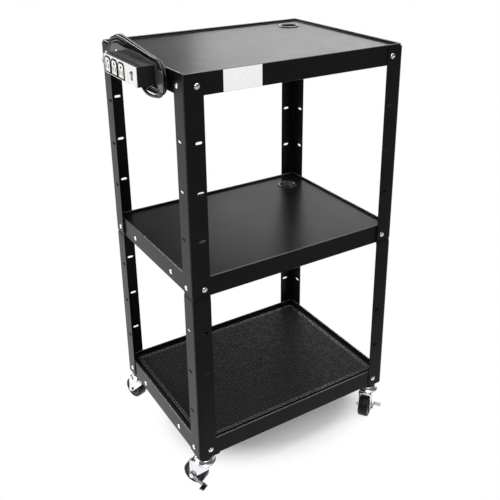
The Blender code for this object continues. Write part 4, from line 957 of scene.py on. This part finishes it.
def hub_mesh():
    """Moulded wheel core: boss, web and rim, with ribs on each side of the web."""
    bm = bmesh.new()
    turned(bm, mirrored(HUB), steps=60, place=along_y())
    for side in (-1, 1):
        for i in range(HUB_RIBS):
            rings = []
            for radius, height, half in HUB_RIB:
                foot = side * HUB_RIB_FOOT
                top = side * height
                crest = half * HUB_RIB_TAPER_SHARE
                corners = ((foot, -half), (foot, half), (top, crest), (top, -crest))
                rings.append([(radius, y, z) for y, z in corners])
            loft(bm, rings, Matrix.Rotation(2 * math.pi * i / HUB_RIBS, 4, "Y"))
    return finish_mesh(bm, "wheel_core", smooth_angle=30)


def race_mesh():
    """Pressed upper race with a rolled rim and a dished cone."""
    bm = bmesh.new()
    lip = arc(RACE_LIP_CENTRE, RACE_LIP_RADIUS, 200, 420, 9)
    turned(bm, RACE_UNDERSIDE + lip + RACE_TOP, steps=64)
    return finish_mesh(bm, "race", smooth_angle=40)


def beads_mesh():
    """Pressed stiffening beads down both sides of a fork."""
    bm = bmesh.new()
    for side in (-1, 1):
        for start, end in BEADS:
            lean = math.degrees(math.atan2(end[1] - start[1], end[0] - start[0]))
            rings = []
            for inset, proud in BEAD_SECTION:
                half = BEAD_HALF - inset
                outline = arc(end, half, lean - 90, lean + 90, 6)
                outline += arc(start, half, lean + 90, lean + 270, 6)
                rings.append([(x, side * (FORK_OUTER + proud), z) for x, z in outline])
            loft(bm, rings)
    return finish_mesh(bm, "fork_beads", smooth_angle=40)


def make_casters(metal, rubber_material, core_material):
    tyre_shape = tyre_mesh()
    hub_shape = hub_mesh()
    race_shape = race_mesh()
    beads_shape = beads_mesh()
    for corner, move in zip(CORNERS, corner_moves()):
        wheel = joint_place(f"{corner}_wheel_spin")
        body = f"{corner}_wheel"
        tyre_piece = link(f"{corner}_tyre_tread", tyre_shape.copy(), rubber_material, body, wheel)
        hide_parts(f"{corner}_wheel_tyre")
        hub_piece = link(f"{corner}_ribbed_core", hub_shape.copy(), core_material, body, wheel)
        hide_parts(f"{corner}_wheel_hub")
        pivot = Matrix.Translation(move @ Vector((KINGPIN_INSET, KINGPIN_INSET, 0)))
        race_piece = link(f"{corner}_rolled_race", race_shape.copy(), metal, "frame", pivot)
        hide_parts(f"{corner}_caster_race")
        link(f"{corner}_fork_beads", beads_shape.copy(), metal, f"{corner}_swivel", wheel)


# Power strip, drawn as Y, height above the top rim and distance left of the legs

OUTWARD = Matrix(((0, 0, -1, 0), (1, 0, 0, 0), (0, 1, 0, TOP_RIM), (0, 0, 0, 1)))
FACEPLATE_OUT = 0.070
OUTLETS = 3
OUTLET_FIRST = 0.1605
OUTLET_PITCH = 0.0397
OUTLET_LEVEL = 0.0135
OUTLET_WIDTH = 0.030
OUTLET_HEIGHT = 0.0335
OUTLET_ROUNDING = 0.008
BLADE_SLOT_SPACING = 0.0127
# Bezel's section as (growth of the receptacle's outline, height above the faceplate)
BEZEL = (
    (-0.0009, 0.0013), (-0.0007, 0.0019), (0.0020, 0.0018), (0.0026, 0.0011), (0.0026, 0.0001),
    (-0.0009, 0.0001),
)
GUIDE_ENDS = (0.0585, 0.07135)
GUIDE_EDGE = 0.0002
BLADE_GUIDE_HALF = 0.0018
BLADE_GUIDE_HEIGHTS = (-0.0228, -0.0122)
BLADE_GUIDE_ROUNDING = 0.0004
GROUND_GUIDE_HALF = 0.0035
GROUND_GUIDE_HEIGHTS = (-0.0093, -0.0025)
GROUND_GUIDE_ROUNDING = 0.0030
MARK_HALF = Vector((0.0033, 0.0008, 0.0002))
MARK_ROUNDING = 0.0003
MARK_EDGE = 0.0001
LEFTWARD = -0.8


def outlet_outline(centre, grow):
    """A receptacle's face, square foot and rounded head, as Y and height above the top rim."""
    half = OUTLET_WIDTH / 2 + grow
    foot = -OUTLET_LEVEL - OUTLET_HEIGHT / 2 - grow
    head = -OUTLET_LEVEL + OUTLET_HEIGHT / 2 + grow
    radius = OUTLET_ROUNDING + grow
    outline = [(centre - half, foot), (centre + half, foot)]
    outline += arc((centre + half - radius, head - radius), radius, 0, 90, 6)
    outline += arc((centre - half + radius, head - radius), radius, 90, 180, 6)
    return outline


def contact_guide(bm, middle, half, heights, rounding):
    low = (middle - half, heights[0], GUIDE_ENDS[0])
    high = (middle + half, heights[1], GUIDE_ENDS[1])
    soft_block(bm, low, high, rounding, GUIDE_EDGE, OUTWARD)


def make_outlet_trim(black):
    """Black bezels round the receptacles, partly painted shade for the shadow lines round them, and black
    guides inside the contacts' holes, painted shade in the slots.
    """
    bezels = bmesh.new()
    guides = bmesh.new()
    for i in range(OUTLETS):
        centre = OUTLET_FIRST + OUTLET_PITCH * i
        rings = []
        for grow, proud in BEZEL:
            outline = outlet_outline(centre, grow)
            rings.append([OUTWARD @ Vector((y, height, FACEPLATE_OUT + proud)) for y, height in outline])
        frame_loft(bezels, rings)
        for side in (-1, 1):
            middle = centre + side * BLADE_SLOT_SPACING / 2
            contact_guide(guides, middle, BLADE_GUIDE_HALF, BLADE_GUIDE_HEIGHTS, BLADE_GUIDE_ROUNDING)
        contact_guide(guides, centre, GROUND_GUIDE_HALF, GROUND_GUIDE_HEIGHTS, GROUND_GUIDE_ROUNDING)
    link("outlet_bezels", finish_mesh(bezels, "outlet_bezels", smooth_angle=30), black)
    link("outlet_contact_guides", finish_mesh(guides, "outlet_contact_guides"), black)


def make_switch_mark(material):
    """The line that marks the switch's ON side, on the rocker's upper face; its white also stands for the
    highlight along the rocker's crest, a painted highlight.
    """
    rocker = nodes["rocker_switch"]
    low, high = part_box("rocker_switch")
    middle = (low.z + high.z) / 2
    upper = [f for f in rocker.data.polygons if f.normal.x < LEFTWARD and f.center.z > middle]
    face = max(upper, key=lambda f: f.area)
    bm = bmesh.new()
    soft_block(bm, -MARK_HALF, MARK_HALF, MARK_ROUNDING, MARK_EDGE)
    place = facing(face.center - CART, face.normal)
    upright = place.to_3x3() @ Vector((1, 0, 0))
    spin = math.asin(max(min(upright.cross(Vector((0, 0, 1))).dot(face.normal), 1), -1))
    place = place @ Matrix.Rotation(spin, 4, "Z")
    link("switch_mark_painted_highlight", finish_mesh(bm, "switch_mark_painted_highlight"), material, joint_named("rocker_tip")["child"], place)


# Room

DAYLIGHT = 0.5
WINDOW_SIDE = (0.80, 0.60, 0.0)
# What mirrors see, as (from, to, brightness before, brightness beyond), towards WINDOW_SIDE;
# the edge's brightness multiplies the pane's
WINDOW_PANE = (0.83, 0.97, 0.42, 1.25)
WINDOW_EDGE = (0.55, 0.76, 0.33, 1.0)
# The same by the height of a direction, and along the floor's Y
CEILING = (0.60, 0.80, 0.0, 1.2)
MIRRORED_FLOOR = (-0.70, -0.05, 0.55, 1.3)
FLOOR_HALF = 6
FLOOR_COLOUR = grey(0.85)
FLOOR_GLOW = 0.15
SHADOW_OFFSET = (-0.30, 0.06, 0)
# Share of plain white, by distance in units of the cart's half width and half depth
SHADOW_FADE = (0.78, 1.24, 0, 1)


def background_rays(room):
    """Whether a ray comes from a mirror, and whether from the eye, straight or through glass."""
    path = room.add("LightPath")
    rays = (path.outputs["Is Camera Ray"], path.outputs["Is Transmission Ray"])
    return path.outputs["Is Glossy Ray"], room.join("Math", *rays, operation="MAXIMUM")


def make_world():
    """White to the eye. Mirrors see a window to the back right and a bright ceiling."""
    world = bpy.data.worlds.new("studio")
    bpy.context.scene.world = world
    world.use_nodes = True
    world.node_tree.nodes.clear()
    room = Nodes(world.node_tree)
    glossy, seen = background_rays(room)
    direction = room.add("TexCoord").outputs["Generated"]
    toward = room.add("VectorMath", operation="DOT_PRODUCT")
    room.feed(toward.inputs[0], direction)
    room.feed(toward.inputs[1], WINDOW_SIDE)
    pane = room.ramp(toward.outputs["Value"], *WINDOW_PANE, interpolation="LINEAR")
    edge = room.ramp(toward.outputs["Value"], *WINDOW_EDGE, interpolation="LINEAR")
    window = room.join("Math", pane, edge, operation="MULTIPLY")
    height = room.add("SeparateXYZ")
    room.feed(height.inputs["Vector"], direction)
    ceiling = room.ramp(height.outputs["Z"], *CEILING, interpolation="LINEAR")
    mirror_image = room.join("Math", window, ceiling, operation="MAXIMUM")
    background = room.add("Background")
    background.inputs["Color"].default_value = (1, 1, 1, 1)
    room.feed(background.inputs["Strength"], room.mix(seen, room.mix(glossy, DAYLIGHT, mirror_image), 1.0))
    output = room.add("OutputWorld")
    room.feed(output.inputs["Surface"], background.outputs["Background"])


def make_lamp(name, place, target, size, power):
    data = bpy.data.lights.new(name, "AREA")
    data.shape = "RECTANGLE"
    data.size, data.size_y = size
    data.energy = power
    lamp = bpy.data.objects.new(name, data)
    lamp.location = Vector(place)
    lamp.rotation_euler = (Vector(target) - Vector(place)).to_track_quat("-Z", "Y").to_euler()
    bpy.context.scene.collection.objects.link(lamp)


def make_floor():
    """White floor: the cart's shadow falls on its middle, and it is plain white further out.

    Mirrors see its front darker and its back brighter than the eye does.
    """
    bm = bmesh.new()
    bmesh.ops.create_grid(bm, x_segments=8, y_segments=8, size=FLOOR_HALF)
    mesh = bpy.data.meshes.new("floor")
    bm.to_mesh(mesh)
    bm.free()
    floor = bpy.data.objects.new("floor", mesh)
    bpy.context.scene.collection.objects.link(floor)
    paint = Paint("floor", FLOOR_COLOUR, roughness=0.9, specular=0.0)
    glossy, seen = background_rays(paint)
    lit = paint.shader.outputs["BSDF"]
    shadowed = paint.join("AddShader", lit, paint.emission(FLOOR_GLOW))
    axes = paint.add("SeparateXYZ")
    paint.feed(axes.inputs["Vector"], paint.coords)
    sheen = paint.ramp(axes.outputs["Y"], *MIRRORED_FLOOR)
    plain = paint.emission(paint.mix(glossy, 1.0, sheen))
    distance = paint.add("VectorMath", operation="LENGTH")
    paint.feed(distance.inputs[0], paint.stretched((2 / WIDTH, 2 / DEPTH, 1), SHADOW_OFFSET))
    away = paint.ramp(distance.outputs["Value"], *SHADOW_FADE)
    studio = paint.mix_shaders(away, shadowed, plain)
    looked_at = paint.join("Math", seen, glossy, operation="MAXIMUM")
    surface = paint.tree.nodes["Material Output"].inputs["Surface"]
    paint.feed(surface, paint.mix_shaders(looked_at, lit, studio))
    floor.data.materials.append(paint.material)


# Everything together

make_camera()
jacket = cord_jacket()
cord, cord_length = make_cord(jacket)
relief = make_relief(jacket)
grips = make_plug_grips(jacket)

steel = powder_coat("black_powder_coat", (0.005, 0.005, 0.0055), worn=(0.0085, 0.0085, 0.009), specular=0.09)
winder_coat = powder_coat("winder_powder_coat", (0.045, 0.045, 0.046), worn=(0.06, 0.06, 0.061), specular=0.4)
# The rims' coat is a lighter grey than the frame's black: a painted highlight along the shelf rims.
highlight_rim_coat = powder_coat("rim_coat_painted_highlight", (0.034, 0.034, 0.0345), worn=(0.042, 0.042, 0.0425), specular=1)
zinc = zinc_plate("bright_zinc", (0.76, 0.77, 0.79))
# The pedals are a darker copy of the bright zinc: painted shade on the brake pedals.
pedal_zinc_painted_shade = zinc_plate("pedal_zinc_painted_shade", (0.26, 0.265, 0.275))
tyre = rubber(
    "tyre_rubber", grey(0.006), dust=(0.018, 0.0175, 0.017), dust_low=0.56, roughness=0.42, specular=0.18,
)
mat_rubber = rubber(
    "mat_rubber", grey(0.010), dust=(0.018, 0.0177, 0.0174), dust_low=0.60, roughness=0.40, specular=0.12,
)
# The mat's border is a lighter grey than its field: a painted highlight on the border ridges; its dusty
# patches are real dust.
border_rubber_painted_highlight = rubber(
    "border_rubber_painted_highlight", grey(0.036), dust=(0.044, 0.043, 0.042), dust_low=0.34, roughness=0.30, specular=0.9,
)
housing = moulded(
    "housing_plastic", (0.006, 0.006, 0.0065), tint=(0.010, 0.010, 0.0105), roughness=0.38,
    grain=700, depth=0.00015, specular=0.25,
)
# Near-black plastic of the outlet bezels and contact guides: painted shade round the receptacles and in their
# slots.
shade_black_plastic = moulded(
    "bezel_plastic_painted_shade", (0.004, 0.004, 0.0042), tint=(0.007, 0.007, 0.0072), roughness=0.5,
    grain=700, depth=0.00015, specular=0.05,
)
gloss = moulded(
    "gloss_plastic", (0.020, 0.020, 0.021), tint=(0.030, 0.030, 0.031), roughness=0.26,
    grain=900, depth=0.00005,
)
core = moulded(
    "wheel_core_plastic", (0.045, 0.045, 0.047), tint=(0.065, 0.064, 0.062), roughness=0.34,
    grain=800, depth=0.0001,
)
white = moulded(
    "white_plastic", (0.78, 0.78, 0.76), tint=(0.72, 0.71, 0.67), roughness=0.34,
    grain=900, depth=0.00006,
)
label = blank_label()
brass = nickelled_brass()

# Material of each CAD solid, by the first key that its name holds
node_paints = {
    "upper_leg": steel,
    "lower_leg": steel,
    "shelf": steel,
    "caster_bracket": steel,
    "caster_race": zinc,
    "caster_kingpin": zinc,
    "caster_fork": zinc,
    "caster_axle": zinc,
    "brake_pedal": pedal_zinc_painted_shade,
    "wheel_tyre": tyre,
    "wheel_hub": core,
    "cable_grommet": gloss,
    "ribbed_mat": mat_rubber,
    "power_housing": housing,
    "outlet_faceplate": white,
    "outlet_receptacle": white,
    "rocker_switch": gloss,
    "winder_plate": winder_coat,
    "winder_back_plate": steel,
    "winder_front_post": gloss,
    "winder_back_post": gloss,
    "power_cord": jacket,
    "strain_relief": jacket,
    "plug_body": jacket,
    "plug_blade": brass,
    "plug_ground_pin": brass,
}
for node_name, node in nodes.items():
    found = [paint for part, paint in node_paints.items() if part in node_name]
    node.data.materials.clear()
    node.data.materials.append(found[0])

make_bolts(zinc)
make_winder_screws(zinc)
make_bracket_bolts(zinc)
make_label(label)
make_rim_rolls(highlight_rim_coat)
make_mat(mat_rubber, border_rubber_painted_highlight)
make_casters(zinc, tyre, core)
make_outlet_trim(shade_black_plastic)
# The switch's white mark is partly an ON mark and partly a painted highlight on the rocker.
make_switch_mark(white)

make_world()
make_floor()
make_lamp("left_softbox", place=(-2.2, 1.0, 0.9), target=(0, 0, 0.6), size=(1.6, 1.8), power=26)
make_lamp("right_softbox", place=(1.72, 1.98, 1.82), target=(0.3, 0.1, 0.7), size=(1.5, 0.30), power=7)
make_lamp("front_softbox", place=(-0.9, -1.9, 2.35), target=(0, 0, 0.4), size=(1.3, 1.3), power=24)
make_lamp("top_softbox", place=(0.8, -0.2, 2.8), target=(0.1, 0, 0.3), size=(2.0, 1.6), power=36)
make_lamp("back_strip", place=(-0.35, 2.4, 2.35), target=(-0.3, 0, 0.9), size=(0.4, 1.3), power=26)

scene = bpy.context.scene
scene.view_settings.view_transform = "Standard"
